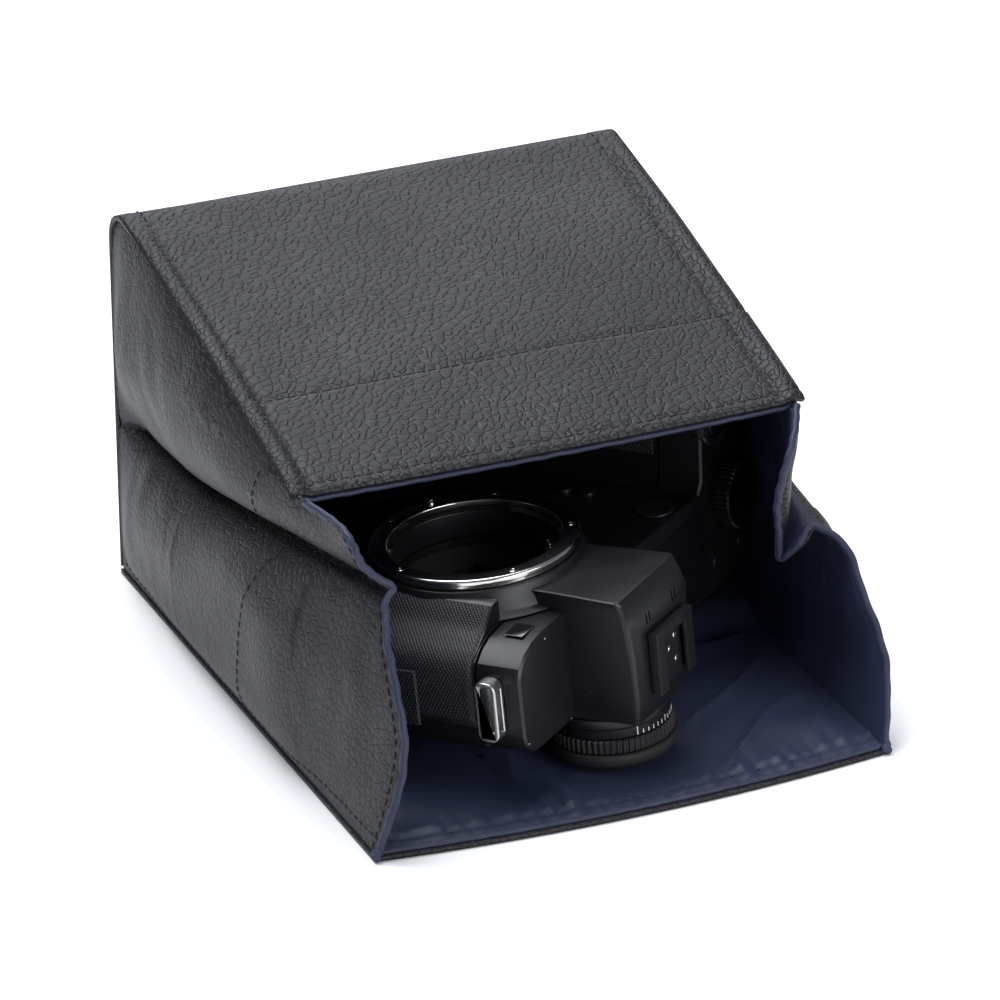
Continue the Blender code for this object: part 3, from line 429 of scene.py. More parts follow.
# Each side fold, at stations from the mouth to the closed end. A station is its share of the depth and its
# points, each as the distance in from the side seam, its y (None for the station's own) and its height.
foldShapes = {
    "left": [
        (0.00, [(0.6, 1, 1.6), (3.5, -2, 14), (7.0, -3, 28), (9.0, 0, 42), (10.3, 6, 54), (10.8, 14, 64),
                (12.0, 20, 70.5), (16.0, 22.5, 74), (12.5, 23.5, 77), (8.0, 24.5, 82), (6.6, 26, 87.5),
                (6.0, 31, 90.5), (4.6, 43, 90.5), (2.6, 56, 89)]),
        (0.19, [(0.6, None, 1.6), (-0.5, None, 14), (0.3, None, 28), (1.2, None, 42), (2.5, None, 54),
                (5, None, 64), (9, None, 70), (14, 42, 72.5), (10, 43, 75.5), (6, 44, 79.5), (4.6, 46, 84),
                (4.0, 49, 87), (3.4, 54, 89), (2.6, 60, 90)]),
        (0.31, [(0.6, None, 1.6), (-4.4, None, 13), (-5.9, None, 27), (-5.9, None, 41), (-4.8, None, 50),
                (0.5, None, 61), (6, None, 66.5), (12, None, 69.5), (7, None, 72.5), (3, None, 76.5),
                (1, None, 81), (0.5, None, 85), (1.2, None, 89), (2.6, None, 91)]),
        (0.45, [(0.6, None, 1.6), (-4.8, None, 13), (-6.0, None, 27), (-6.0, None, 40), (-5.2, None, 50),
                (-0.5, None, 58), (5.5, None, 62.5), (11, None, 65), (6, None, 67.5), (0, None, 72),
                (-3.2, None, 79), (-3.2, None, 86), (-0.8, None, 93), (2.6, None, 97.5)]),
        (0.70, [(0.6, None, 1.6), (-4.0, None, 11), (-5.4, None, 23), (-4.9, None, 34), (-2.5, None, 43),
                (1, None, 49), (5.5, None, 52.5), (11, None, 54.5), (5, None, 57.5), (-2, None, 66),
                (-5.5, None, 78), (-5.5, None, 91), (-2, None, 103), (2.6, None, 110)]),
        (0.98, [(0.8, None, 1.6), (-1.5, None, 11), (-2.5, None, 22), (-2.3, None, 32), (-1, None, 41),
                (0.5, None, 47), (3, None, 50.5), (7, None, 52.5), (3, None, 55.5), (-1, None, 66),
                (-3, None, 78), (-3, None, 92), (-1, None, 105), (2.8, None, 116)]),
    ],
    "right": [
        (0.00, [(0.6, 1, 1.6), (-2, 5, 13), (-4.2, 12, 25), (-4.2, 22, 39), (-1.5, 30, 53), (6.0, 39, 58.5),
                (10.5, 38.5, 54), (14.5, 42.5, 48.5), (16.0, 41, 57), (16.5, 42, 65), (14.0, 43, 73.5),
                (10.0, 45.5, 81), (5.5, 51, 86.5), (2.6, 57, 89)]),
        (0.22, [(0.6, None, 1.6), (-3, None, 13), (-4.8, None, 26), (-5, None, 39), (-3.5, None, 50),
                (0, None, 56), (5, None, 57.5), (11, 48, 55), (11, 48, 60), (10, 48, 66), (8.5, 49, 73),
                (6, 51, 80), (4.0, 55, 86), (2.6, 61, 90)]),
        (0.36, [(0.6, None, 1.6), (-4.2, None, 13), (-5.4, None, 26), (-5.6, None, 39), (-5.2, None, 49),
                (-4.0, None, 55), (-3.0, None, 57.5), (-1.5, None, 58.5), (-2.0, None, 61), (-2.6, None, 66),
                (-3, None, 73), (-2.4, None, 80), (-0.5, None, 87), (2.6, None, 93)]),
        (0.46, [(0.6, None, 1.6), (-4.2, None, 13), (-5.4, None, 26), (-5.6, None, 39), (-5.4, None, 49),
                (-5.0, None, 55), (-4.8, None, 58), (-4.6, None, 60), (-4.8, None, 63), (-5.0, None, 69),
                (-5.0, None, 77), (-4.4, None, 85), (-1.4, None, 93), (2.6, None, 98)]),
        (0.66, [(0.6, None, 1.6), (-4.2, None, 12), (-5.4, None, 24), (-5.6, None, 36), (-5.4, None, 46),
                (-4.8, None, 52), (-4.6, None, 56), (-4.4, None, 58.5), (-4.6, None, 62), (-5.2, None, 70),
                (-5.4, None, 80), (-4.8, None, 92), (-1.7, None, 102), (2.6, None, 108)]),
        (0.98, [(0.8, None, 1.6), (-1.5, None, 11), (-2.5, None, 22), (-2.3, None, 32), (-1, None, 41),
                (0.5, None, 47), (3, None, 50.5), (7, None, 52.5), (3, None, 55.5), (-1, None, 66),
                (-3, None, 78), (-3, None, 92), (-1, None, 105), (2.8, None, 116)]),
    ],
}


def foldAt(side, along, up):                    # a bare point of a side fold's outer surface, in millimetres
    stations = foldShapes[side]
    sign = -1 if side == "left" else 1
    rows = []
    for share, points in stations:
        full = []
        for inset, y, z in points:
            if y is None:
                y = share * depth
            if share > 0.9:
                y = depth - 0.7 - roof["lean"] * z
            full.append((inset, y, z))
        full[-1] = (full[-1][0], full[-1][1], full[-1][2] + 1.0)
        rows.append(curveThrough(full, up))
    shares = [share for share, points in stations]
    place = along * shares[-1]
    i = max(k for k in range(len(shares) - 1) if shares[k] <= place + 1e-9)
    local = (i + (place - shares[i]) / (shares[i + 1] - shares[i])) / (len(shares) - 1)
    inset, y, z = curveThrough(rows, min(local, 1.0))
    return sign * (halfWidth - inset), y, z


foldWrinkles = {"amount": 2.1, "reach": 27.0, "fine": 0.5}


def ease(t):
    t = min(1.0, max(0.0, t))
    return t * t * (3 - 2 * t)


def roofZ(y):                                   # the long panel's height over a depth
    if y > roof["ridge"]:
        rise = math.sqrt(max(0.0, roof["radius"] ** 2 - (y - roof["ridge"]) ** 2))
        return roof["top"] - roof["radius"] + rise
    t = (y - roof["front"]) / (roof["ridge"] - roof["front"])
    lift = roof["arch"] * math.sin(math.pi * max(0.0, t))
    return roof["frontHeight"] + (roof["top"] - roof["frontHeight"]) * t + lift


def foldPoint(side, along, up, inward=0.0):     # the same with its wrinkles, and set in by a thickness
    x, y, z = foldAt(side, along, up)
    sign = -1 if side == "left" else 1
    if up > 0.8:                                # the upper edge is sewn in under the long panel
        edge = foldAt(side, along, 1.0)
        z += (roofZ(max(edge[1], roof["front"])) - 1.3 - edge[2]) * ease((up - 0.8) / 0.2)
    x += (sign * (halfWidth - 0.6) - x) * ease((along - 0.9) / 0.1) * 0.9
    rim = min(1.0, min(up, 1 - up) * 8) * min(1.0, (1 - along) * 8)
    soft = foldWrinkles["amount"] * ripple(y * 0.55, z + y * 0.35, 0, foldWrinkles["reach"], sign * 3.7)
    soft += foldWrinkles["fine"] * ripple(y, z * 0.6, 0, 9.0, sign * 8.1)
    crease = math.exp(-((up - 0.53) / 0.16) ** 2)
    soft += 0.9 * crease * ripple(y * 1.6, z * 0.3, 0, 11.0, sign * 1.3)
    near = 1.0 if not 55 < y < 150 else 0.25    # kept calm where the camera lies against it
    x += sign * soft * rim * (near if z < 92 else 1.0)
    return Vector((x - sign * inward, y, z))


def rollProfile(x, distance):                   # the raised roll along the side edges of the long panel
    d = halfWidth - abs(x)
    roll = 1.5 * math.sin(math.pi * min(d, 7.0) / 7.0) if d < 7.0 else 0.0
    trough = -0.55 * math.exp(-((d - 7.0) / 1.3) ** 2)
    fade = min(1.0, max(0.0, distance / 6.0)) * 0.6 + 0.4
    fade *= 1 - 0.9 * math.exp(-((distance - 150.0) / 16.0) ** 2)
    return (roll + trough) * fade


topLook = {"sag": 1.3, "wave": 0.8, "seam": 44.0, "hem": 4.2}


def topPoint(x, distance, depthIn=0.0):         # a point of the long panel, or one set in below it
    y, z, outY, outZ = roofPath(distance)
    across = x / halfWidth
    t = distance / slope
    offset = rollProfile(x, distance)
    if distance < slope + 10:
        offset -= topLook["sag"] * max(0.0, 1 - across ** 2) * math.exp(-((t - 1.0) / 0.42) ** 2)
        offset += topLook["wave"] * ripple(x, distance, 0, 42.0) * min(1.0, t * 4)
    offset -= 0.55 * math.exp(-((distance - topLook["seam"]) / 1.0) ** 2)
    offset += 0.25 * ease((topLook["seam"] - distance) / 1.5 + 0.5)
    if distance < topLook["hem"] + 2:
        offset -= 0.4 * math.exp(-((distance - topLook["hem"]) / 0.9) ** 2)
        offset -= 0.7 * math.exp(-(distance / 1.1) ** 2)
    y += outY * (offset - depthIn)
    z += outZ * (offset - depthIn)
    if distance < 20:                           # the mouth's edge droops a little between the corners
        z -= 0.8 * (1 - across ** 2) * (1 - distance / 20)
    return Vector((x, y, z))


def toPouch(v):
    return pouchPoint(v.x, v.y, v.z)


def blendRoof(piece):
    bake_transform(piece)


def blendFold(piece):
    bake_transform(piece)


def makeTopLeather():
    mesh = sheetMesh(130, 250, lambda u, v: toPouch(topPoint((2 * u - 1) * halfWidth, v * roofLength)),
                     Vector((0, 0.3, 1)))
    piece = finishPiece("topLeather", mesh, "leather", smooth=180, replaced=("top_panel", "back_panel"))
    addSolidify(piece, 1.6)
    blendRoof(piece)


def makeRoofLining():
    def at(u, v):
        x = (2 * u - 1) * (halfWidth - 3.4)
        distance = 1.0 + v * (roofLength - 6.0)
        pucker = 0.45 * ripple(x * 0.7, distance, 0, 12.0, 4.4)
        return toPouch(topPoint(x, distance, 2.4 - pucker))

    mesh = sheetMesh(90, 160, at, Vector((0, -0.3, -1)))
    piece = finishPiece("roofLining", mesh, "lining", smooth=180, replaced=("top_lining", "back_lining"))
    addSolidify(piece, 0.5)
    blendRoof(piece)


def makeFold(side):
    sign = -1 if side == "left" else 1
    out = Vector((sign, 0, 0))
    mesh = sheetMesh(170, 96, lambda u, v: toPouch(foldPoint(side, u, v)), out)
    piece = finishPiece(side + "FoldLeather", mesh, "leather", smooth=180,
                        replaced=(side + "_fold_lower", side + "_fold_upper"))
    addSolidify(piece, 1.3)
    blendFold(piece)

    def inside(u, v):
        v *= 0.975
        pucker = 0.5 * ripple(u * 90, v * 70, 0, 7.0, sign * 5.5) * min(1.0, u * 12)
        return toPouch(foldPoint(side, u * 0.985, v, 1.75 + pucker))

    mesh = sheetMesh(150, 90, inside, -out)
    piece = finishPiece(side + "FoldLining", mesh, "lining", smooth=180,
                        replaced=(side + "_lining_lower", side + "_lining_upper"))
    addSolidify(piece, 0.4)
    blendFold(piece)


def bowAt(x):                                   # how far the base's front edge stands out
    return 6.0 * (1 - (x / halfWidth) ** 2)


def makeBaseLeather():
    def at(u, v):
        x = (2 * u - 1) * halfWidth
        front = -bowAt(x)
        y = front + v * (depth - front)
        rim = math.exp(-((y - front) / 1.2) ** 2)
        return toPouch(Vector((x, y, 1.45 - 0.05 * rim)))

    mesh = sheetMesh(90, 90, at, Vector((0, 0, 1)))
    piece = finishPiece("baseLeather", mesh, "leather", smooth=180, replaced=("base_panel",))
    addSolidify(piece, 1.35)
    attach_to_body(piece, "pouch")


cupLow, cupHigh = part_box("eyecup")
cupX, cupY = (cupLow.x + cupHigh.x) / 2 / mm, (cupLow.y + cupHigh.y) / 2 / mm - mouthY
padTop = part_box("base_padding")[1].z / mm
floorLook = {"front": 1.9, "wrinkle": 3.4, "long": 24.0, "sharp": 1.3, "pucker": 1.8, "rise": 88.0,
             "ramp": 14.0}


def floorRise(y):                               # up onto the padding at the closed end
    return (padTop - 1.7) * ease((y - floorLook["rise"]) / floorLook["ramp"])


def baseLiningPoint(u, v):
    x = (2 * u - 1) * (halfWidth - 1.6)
    front = -bowAt(x) + floorLook["front"]
    y = front + v * (depth - 5 - front)
    back = y - front                            # how far behind the hem
    z = 1.85 + floorRise(y)
    hem = math.exp(-((back - 5.5) / 1.6) ** 2)  # the row of stitches along the hem pulls the cloth down
    pucker = max(0.0, 0.5 + 0.9 * ripple(x, back * 0.16, 0, 4.2, 2.0)) * math.exp(-abs(back - 8.5) / 7.0)
    wide = max(0.0, ripple(x * 0.8 + y * 0.5, y * 0.8 - x * 0.25, 0, floorLook["long"], 7.0)) ** 1.3
    sharp = (1 - abs(ripple(x * 0.5 - y * 0.45, (y + x) * 0.16, 0, 13.0, 9.0)) * 2.6)
    folds = floorLook["wrinkle"] * wide + floorLook["sharp"] * max(0.0, sharp) ** 2
    inside = min(1.0, max(0.0, (back - 9) / 16)) * min(1.0, (halfWidth - abs(x)) / 10)
    away = math.hypot(x - cupX, y - min(max(y, cupY - 6), cupY + 31))
    calm = min(1.0, max(0.0, (away - 21.5) / 9))    # smooth where the eyecup rests and slides
    under = 0.35 if y > 86 else 1.0             # and flatter under the camera's body and its lug end
    under *= 0.35 if x < -30 and y > 30 else 1.0
    z += (folds * inside * 1.1 + pucker * floorLook["pucker"]) * calm * under
    z += 0.4 * (1 - hem) * min(1.0, back / 3) * calm
    return toPouch(Vector((x, y, z)))


def makeBaseLining():
    mesh = sheetMesh(230, 270, baseLiningPoint, Vector((0, 0, 1)))
    piece = finishPiece("baseLining", mesh, "lining", smooth=180, replaced=("base_lining",))
    addSolidify(piece, 0.3)
    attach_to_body(piece, "pouch")


pocketLook = {"low": 6.0, "high": 104.0, "bow": 2.2, "stitches": (100.2, 10.0)}


def makeBackPocket():
    low, high = pocketLook["low"], pocketLook["high"]

    def at(u, v):
        x = (2 * u - 1) * (halfWidth - 2.2)
        z = low + v * (high - low)
        bow = pocketLook["bow"] * math.sin(math.pi * v) + 0.6 * ripple(x, z, 0, 36.0, 6.0)
        edge = -0.5 * math.exp(-((z - high + 4) / 1.0) ** 2) - 0.5 * math.exp(-((z - low - 3) / 1.0) ** 2)
        side = -0.4 * math.exp(-((halfWidth - 2.2 - abs(x) - 3.2) / 1.0) ** 2)
        return toPouch(Vector((x, depth - roof["lean"] * z + 1.6 + max(0.0, bow) + edge + side, z)))

    mesh = sheetMesh(80, 60, at, Vector((0, 1, 0)))
    piece = finishPiece("backPocket", mesh, "leather", smooth=180, replaced=("back_pocket",))
    addSolidify(piece, 1.3)
    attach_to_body(piece, "pouch")


stitchLook = {"length": 2.7, "space": 1.0, "thick": 0.7}


def stitchRow(name, path, attach, look="thread", lift=0.15):
    mesh = bmesh.new()                          # path gives points and outward directions, in millimetres
    step = stitchLook["length"] + stitchLook["space"]
    size = Matrix.Diagonal((stitchLook["length"] / 2, stitchLook["thick"] / 2, stitchLook["thick"] / 2.6, 1))
    travelled, ready = 0.0, 0.0
    for (a, outA), (b, outB) in zip(path, path[1:]):
        reach = (b - a).length
        while ready < travelled + reach:
            t = (ready - travelled) / max(reach, 1e-9)
            at = a.lerp(b, t)
            out = outA.lerp(outB, t).normalized()
            run = (b - a).normalized()
            side = out.cross(run).normalized()
            turn = Matrix((run, side, side.cross(run) * -1)).transposed().to_4x4()
            placed = Matrix.Translation(toPouch(at + out * lift)) @ turn @ Matrix.Scale(mm, 4) @ size
            bmesh.ops.create_uvsphere(mesh, u_segments=7, v_segments=5, radius=1.0, matrix=placed)
            ready += step
        travelled += reach
    bmesh.ops.recalc_face_normals(mesh, faces=mesh.faces)
    piece = finishPiece(name, mesh, look, smooth=180)
    attach(piece)


def roofSeam(name, xs, distances):
    path = []
    for x, distance in zip(xs, distances):
        outY, outZ = roofPath(distance)[2:]
        path.append((topPoint(x, distance), Vector((0, outY, outZ))))
    stitchRow(name, path, blendRoof)


def evenly(low, high, count):
    return [low + (high - low) * i / (count - 1) for i in range(count)]


def makeRoofSeams():
    edge = halfWidth - 7.2
    roofSeam("hemStitches", evenly(-edge - 3, edge + 3, 60), [topLook["hem"]] * 60)
    roofSeam("bandStitches", evenly(-edge - 1, edge + 1, 60), [topLook["seam"]] * 60)
    for name, x in (("leftRollStitches", -edge), ("rightRollStitches", edge)):
        roofSeam(name, [x] * 160, evenly(topLook["hem"] + 1, roofLength - 4, 160))


def foldSeam(name, side, alongs, ups, lift=0.1):
    sign = -1 if side == "left" else 1
    path = [(foldPoint(side, a, u), Vector((sign, 0, 0))) for a, u in zip(alongs, ups)]
    stitchRow(name, path, blendFold, lift=lift)


def makeFoldSeams():
    for side in ("left", "right"):
        foldSeam(side + "FacingStitchesLow", side, evenly(0.47, 0.38, 30), evenly(0.02, 0.46, 30))
        foldSeam(side + "FacingStitchesHigh", side, evenly(0.43, 0.40, 20), evenly(0.64, 0.9, 20))
        foldSeam(side + "MouthStitches", side, [0.022] * 90, evenly(0.02, 0.97, 90))
        foldSeam(side + "BaseStitches", side, evenly(0.02, 0.98, 120), [0.035] * 120)


def tubeMesh(points, radius):
    curve = bpy.data.curves.new("tube", "CURVE")
    curve.dimensions = "3D"
    spline = curve.splines.new("POLY")
    spline.points.add(len(points) - 1)
    for p, at in zip(spline.points, points):
        p.co = (*toPouch(at), 1)
    curve.bevel_depth = radius * mm
    curve.bevel_resolution = 2
    curve.use_fill_caps = True
    holder = bpy.data.objects.new("tube", curve)
    bpy.context.scene.collection.objects.link(holder)
    data = bpy.data.meshes.new_from_object(holder.evaluated_get(bpy.context.evaluated_depsgraph_get()))
    bpy.data.objects.remove(holder)
    mesh = bmesh.new()
    mesh.from_mesh(data)
    bpy.data.meshes.remove(data)
    bmesh.ops.remove_doubles(mesh, verts=mesh.verts, dist=1e-6)
    bmesh.ops.recalc_face_normals(mesh, faces=mesh.faces)
    return mesh


def makeBinding():
    for side in ("left", "right"):              # the lining turned over the folds' mouth edges
        sign = -1 if side == "left" else 1
        points = []
        for k in range(150):
            up = k / 149
            at = foldPoint(side, 0.0, up, 0.9)
            at.y -= 0.2
            at.x += 0.15 * math.sin(k * 0.9) + 0.2 * ripple(k, 0, 0, 6.0)
            points.append(at)
        piece = finishPiece(side + "MouthBinding", tubeMesh(points, 1.15), "lining", smooth=180)
        blendFold(piece)
    points = []
    for k in range(120):                        # and along the base's and the top panel's front edges
        x = (2 * k / 119 - 1) * (halfWidth - 0.6)
        points.append(Vector((x, -bowAt(x) + 1.7 + 0.2 * ripple(x, 0, 0, 3.0), 2.1)))
    piece = finishPiece("baseHemBinding", tubeMesh(points, 0.85), "lining", smooth=180)
    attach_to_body(piece, "pouch")
    points = []
    for k in range(120):
        x = (2 * k / 119 - 1) * (halfWidth - 2.5)
        at = topPoint(x, 0.4, 2.1)
        at.z += 0.25 * ripple(x, 0, 0, 5.0)
        points.append(at)
    piece = finishPiece("topHemBinding", tubeMesh(points, 0.9), "lining", smooth=180)
    blendRoof(piece)


def makeBaseSeams():
    path = []
    for x in evenly(-halfWidth + 3, halfWidth - 3, 70):
        path.append((Vector((x, -bowAt(x) + 7.4, 2.15)), Vector((0, 0, 1))))
    stitchRow("floorStitches", path, lambda piece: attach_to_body(piece, "pouch"), "navyThread")
    for z in pocketLook["stitches"]:
        back = [(Vector((x, depth - roof["lean"] * z + 2.0, z)), Vector((0, 1, 0)))
                for x in evenly(-halfWidth + 6, halfWidth - 6, 50)]
        stitchRow(f"pocketStitches{int(z)}", back, lambda piece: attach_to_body(piece, "pouch"), lift=0.1)


def makeKnots():
    for side, sign in (("left", -1), ("right", 1)):
        mesh = bmesh.new()
        random.seed(4 + sign)
        for k in range(7):
            at = Vector((sign * (halfWidth - 0.8 + random.uniform(-0.8, 0.6)),
                         0.6 + random.uniform(-1.2, 1.0), 1.9 + random.uniform(-0.6, 1.4)))
            shape = Matrix.Translation(toPouch(at)) @ Matrix.Diagonal((1, 0.8, 1.1, 1))
            bmesh.ops.create_uvsphere(mesh, u_segments=10, v_segments=7, radius=random.uniform(0.7, 1.3) * mm,
                                      matrix=shape)
        piece = finishPiece(side + "CornerKnot", mesh, "navyThread", smooth=180)
        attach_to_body(piece, "pouch")


makeTopLeather()
makeRoofLining()
makeFold("left")
makeFold("right")
makeBaseLeather()
makeBaseLining()
makeBackPocket()
makeRoofSeams()
makeFoldSeams()
makeBinding()
makeBaseSeams()
makeKnots()
nodes["base_padding"].data.materials.clear()
nodes["base_padding"].data.materials.append(materials["foam"])
print("pouch made")


def softenNode(name, look, width=0.35, angle=28, segments=2, reshape=None):
    node = nodes[name]                          # the same solid, merged, with its edges rounded
    mesh = bmesh.new()
    mesh.from_mesh(node.data)
    bmesh.ops.remove_doubles(mesh, verts=mesh.verts, dist=2e-6)
    if reshape:
        for v in mesh.verts:
            v.co = cameraPoint(*reshape(*(fromWorld @ v.co / mm)))
    bmesh.ops.dissolve_limit(mesh, angle_limit=math.radians(1.0), verts=mesh.verts, edges=mesh.edges)
    edges = [e for e in mesh.edges if len(e.link_faces) == 2 and e.calc_face_angle(0) > math.radians(angle)]
    bmesh.ops.bevel(mesh, geom=edges, offset=width * mm, segments=segments, affect="EDGES", profile=0.5,
                    material=-1, clamp_overlap=True)
    piece = finishPiece(name + "Shape", mesh, look, smooth=50, replaced=(name,))
    evenShading(piece)
    for body, members in frame["record"]["behaviour"]["bodies"].items():
        if name in members:
            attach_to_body(piece, body)
    return piece


humpLook = {"face": -5.8, "half": 17.8, "foot": 16.3, "drop": 3.6, "from": -17.0}
humpWas = ((-46.0, 16.5, 15.9), (-24.0, 16.5, 17.5), (-15.0, 17.0, 19.0), (-8.0, 19.0, 21.5),
           (-3.0, 22.5, 24.0), (0.5, 24.4, 24.4))   # z, and the plain solid's half width at its foot and top


def humpShape(x, y, z):                         # sets the finder hump's front back behind the flange
    if abs(x - 0.5) > 26.5 or y < 24.0 or z < -47.5:
        return x, y, z
    low = max((row for row in humpWas if row[0] <= z), default=humpWas[0])
    high = min((row for row in humpWas if row[0] > z), default=humpWas[-1])
    t = (z - low[0]) / max(high[0] - low[0], 1e-6) if high[0] > low[0] else 0.0
    up = min(1.0, max(0.0, (y - 36.0) / 21.0))
    wide = [low[k] + (high[k] - low[k]) * t for k in (1, 2)]
    now = wide[0] + (wide[1] - wide[0]) * up
    wanted = humpLook["foot"] + (humpLook["half"] - humpLook["foot"]) * up
    if z > -13.0:
        x = 0.5 + (x - 0.5) * min(1.0, wanted / now)
    if y > 45 and z > humpLook["from"]:
        y -= humpLook["drop"] * ((z - humpLook["from"]) / -humpLook["from"]) ** 1.5
    if z > -12.0:
        z = -12.0 + (z + 12.0) * (12.0 + humpLook["face"]) / 12.0
    return x, y, z


def turnedMesh(profile, steps):                 # a closed profile of (radius, z), spun round Z
    mesh = bmesh.new()
    loop = [mesh.verts.new((r * mm, 0, z * mm)) for r, z in profile]
    edges = [mesh.edges.new((loop[i], loop[(i + 1) % len(loop)])) for i in range(len(loop))]
    bmesh.ops.spin(mesh, geom=loop + edges, cent=(0, 0, 0), axis=(0, 0, 1), angle=2 * math.pi, steps=steps,
                   use_merge=True)
    bmesh.ops.remove_doubles(mesh, verts=mesh.verts, dist=1e-6)
    bmesh.ops.recalc_face_normals(mesh, faces=mesh.faces)
    return mesh


def seat(mesh, at=(0, 0, 0), turn=Matrix.Identity(4)):  # from the camera's own frame to its place
    bmesh.ops.transform(mesh, matrix=toWorld @ Matrix.Translation(Vector(at) * mm) @ turn, verts=mesh.verts)
    return mesh


faceUp = Matrix.Rotation(-math.pi / 2, 4, "X")


def rounded(profile, radius=0.25, steps=3):     # rounds every corner of a closed profile
    made = []
    for i, corner in enumerate(profile):
        here = Vector(corner)
        before, after = Vector(profile[i - 1]), Vector(profile[(i + 1) % len(profile)])
        reach = min(radius, (before - here).length * 0.45, (after - here).length * 0.45)
        start = here + (before - here).normalized() * reach
        end = here + (after - here).normalized() * reach
        for k in range(steps + 1):
            t = k / steps
            made.append(tuple(start * (1 - t) ** 2 + here * 2 * t * (1 - t) + end * t * t))
    return made


mountLook = {"throat": 25.8, "flange": 31.4, "skirt": 36.5, "screws": 28.6, "frontZ": -12.0}


def makeMount():
    r = mountLook
    foot = r["frontZ"] + 0.3
    skirt = [(r["throat"] - 0.4, foot), (r["skirt"], foot), (r["skirt"], foot + 0.7), (33.8, foot + 1.2),
             (32.8, -7.0), (r["flange"] + 0.3, -3.5), (r["throat"] - 0.4, -3.5)]
    piece = finishPiece("mountSkirt", seat(turnedMesh(rounded(skirt, 0.4), 128)), "black_metal",
                        replaced=("mount_base",))
    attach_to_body(piece, "camera")
    ring = [(r["throat"], -3.3), (r["flange"] - 0.8, -3.3), (r["flange"] - 0.8, -2.0), (r["flange"], -1.8),
            (r["flange"], -0.6), (r["flange"] - 0.5, -0.05), (r["throat"] + 0.5, 0.0), (r["throat"], -0.5)]
    mesh = turnedMesh(rounded(ring, 0.22), 160)
    for k in range(3):                          # the three claws inside the ring
        claw = bmesh.new()
        bmesh.ops.create_cube(claw, size=mm)
        bmesh.ops.subdivide_edges(claw, edges=claw.edges[:], cuts=7, use_grid_fill=True)
        for v in claw.verts:
            u, w, h = v.co / mm + Vector((0.5, 0.5, 0.5))
            angle = math.radians(20 + 120 * k + 42 * u)
            radius = r["throat"] - 1.9 + 2.3 * w
            v.co = Vector((radius * math.cos(angle), radius * math.sin(angle), -2.9 + 1.4 * h)) * mm
        bmesh.ops.recalc_face_normals(claw, faces=claw.faces)
        data = bpy.data.meshes.new("claw")
        claw.to_mesh(data)
        claw.free()
        mesh.from_mesh(data)
        bpy.data.meshes.remove(data)
    piece = finishPiece("mountRing", seat(mesh), "steel", replaced=("mount_ring",))
    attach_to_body(piece, "camera")
    head = [(0.45, -0.25), (0.6, 0.18), (1.15, 0.22), (1.45, 0.0), (1.5, -1.2), (0.4, -1.2)]
    for k in range(5):
        angle = math.radians(52 + 72 * k)
        at = (r["screws"] * math.cos(angle), r["screws"] * math.sin(angle), -0.1)
        piece = finishPiece(f"mountScrew{k + 1}", seat(turnedMesh(rounded(head, 0.1), 24), at),
                            "steel", replaced=(f"mount_screw_{k + 1}",))
        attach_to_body(piece, "camera")
    mesh = bmesh.new()
    bmesh.ops.create_uvsphere(mesh, u_segments=16, v_segments=8, radius=1.0 * mm)
    bmesh.ops.scale(mesh, vec=(1, 1, 0.35), verts=mesh.verts)
    piece = finishPiece("mountIndex", seat(mesh, (-33.2 * math.cos(0.5), -33.2 * math.sin(0.5), -5.0)), "red")
    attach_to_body(piece, "camera")


flank = {"line": [(31.6, -5.0), (33.6, -7.0), (36.8, -10.6), (40.4, -13.0), (43.8, -15.4), (46.2, -18.4),
                  (47.2, -23.0), (47.3, -37.0)], "low": -43.0, "high": 22.5}


def makeFlank():                                # the covered flank, swelling from the lug end to the mount
    steps = [curveThrough(flank["line"], k / 40) for k in range(41)]
    mesh = bmesh.new()
    outline = [(27.5, -12.4), (27.5, -5.0)] + [(x - 0.25, z - 0.25) for x, z in steps]
    outline += [(40.0, -37.0), (40.0, -20.0)]
    face = mesh.faces.new([mesh.verts.new(Vector((x, flank["low"], z)) * mm) for x, z in outline])
    raised = bmesh.ops.extrude_face_region(mesh, geom=[face])["geom"]
    top = [g for g in raised if isinstance(g, bmesh.types.BMVert)]
    bmesh.ops.translate(mesh, vec=(0, (flank["high"] - flank["low"]) * mm, 0), verts=top)
    bmesh.ops.recalc_face_normals(mesh, faces=mesh.faces)
    edges = [e for e in mesh.edges if e.calc_face_angle(0) > 1.0]
    bmesh.ops.bevel(mesh, geom=edges, offset=0.2 * mm, segments=2, affect="EDGES", profile=0.5, material=-1)
    piece = finishPiece("flankCore", seat(mesh), "black_metal")
    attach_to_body(piece, "camera")
    low, high = flank["low"] + 0.6, flank["high"] - 0.5

    def at(u, v):
        x, z = curveThrough(flank["line"], 0.03 + 0.95 * u)
        return cameraPoint(x, low + (high - low) * v, z)

    mesh = sheetMesh(70, 40, at, toWorld.to_3x3() @ Vector((1, 0, 1)))
    piece = finishPiece("leftCovering", mesh, "leatherette", smooth=180, replaced=("left_leatherette",))
    addSolidify(piece, 0.5)
    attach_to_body(piece, "camera")


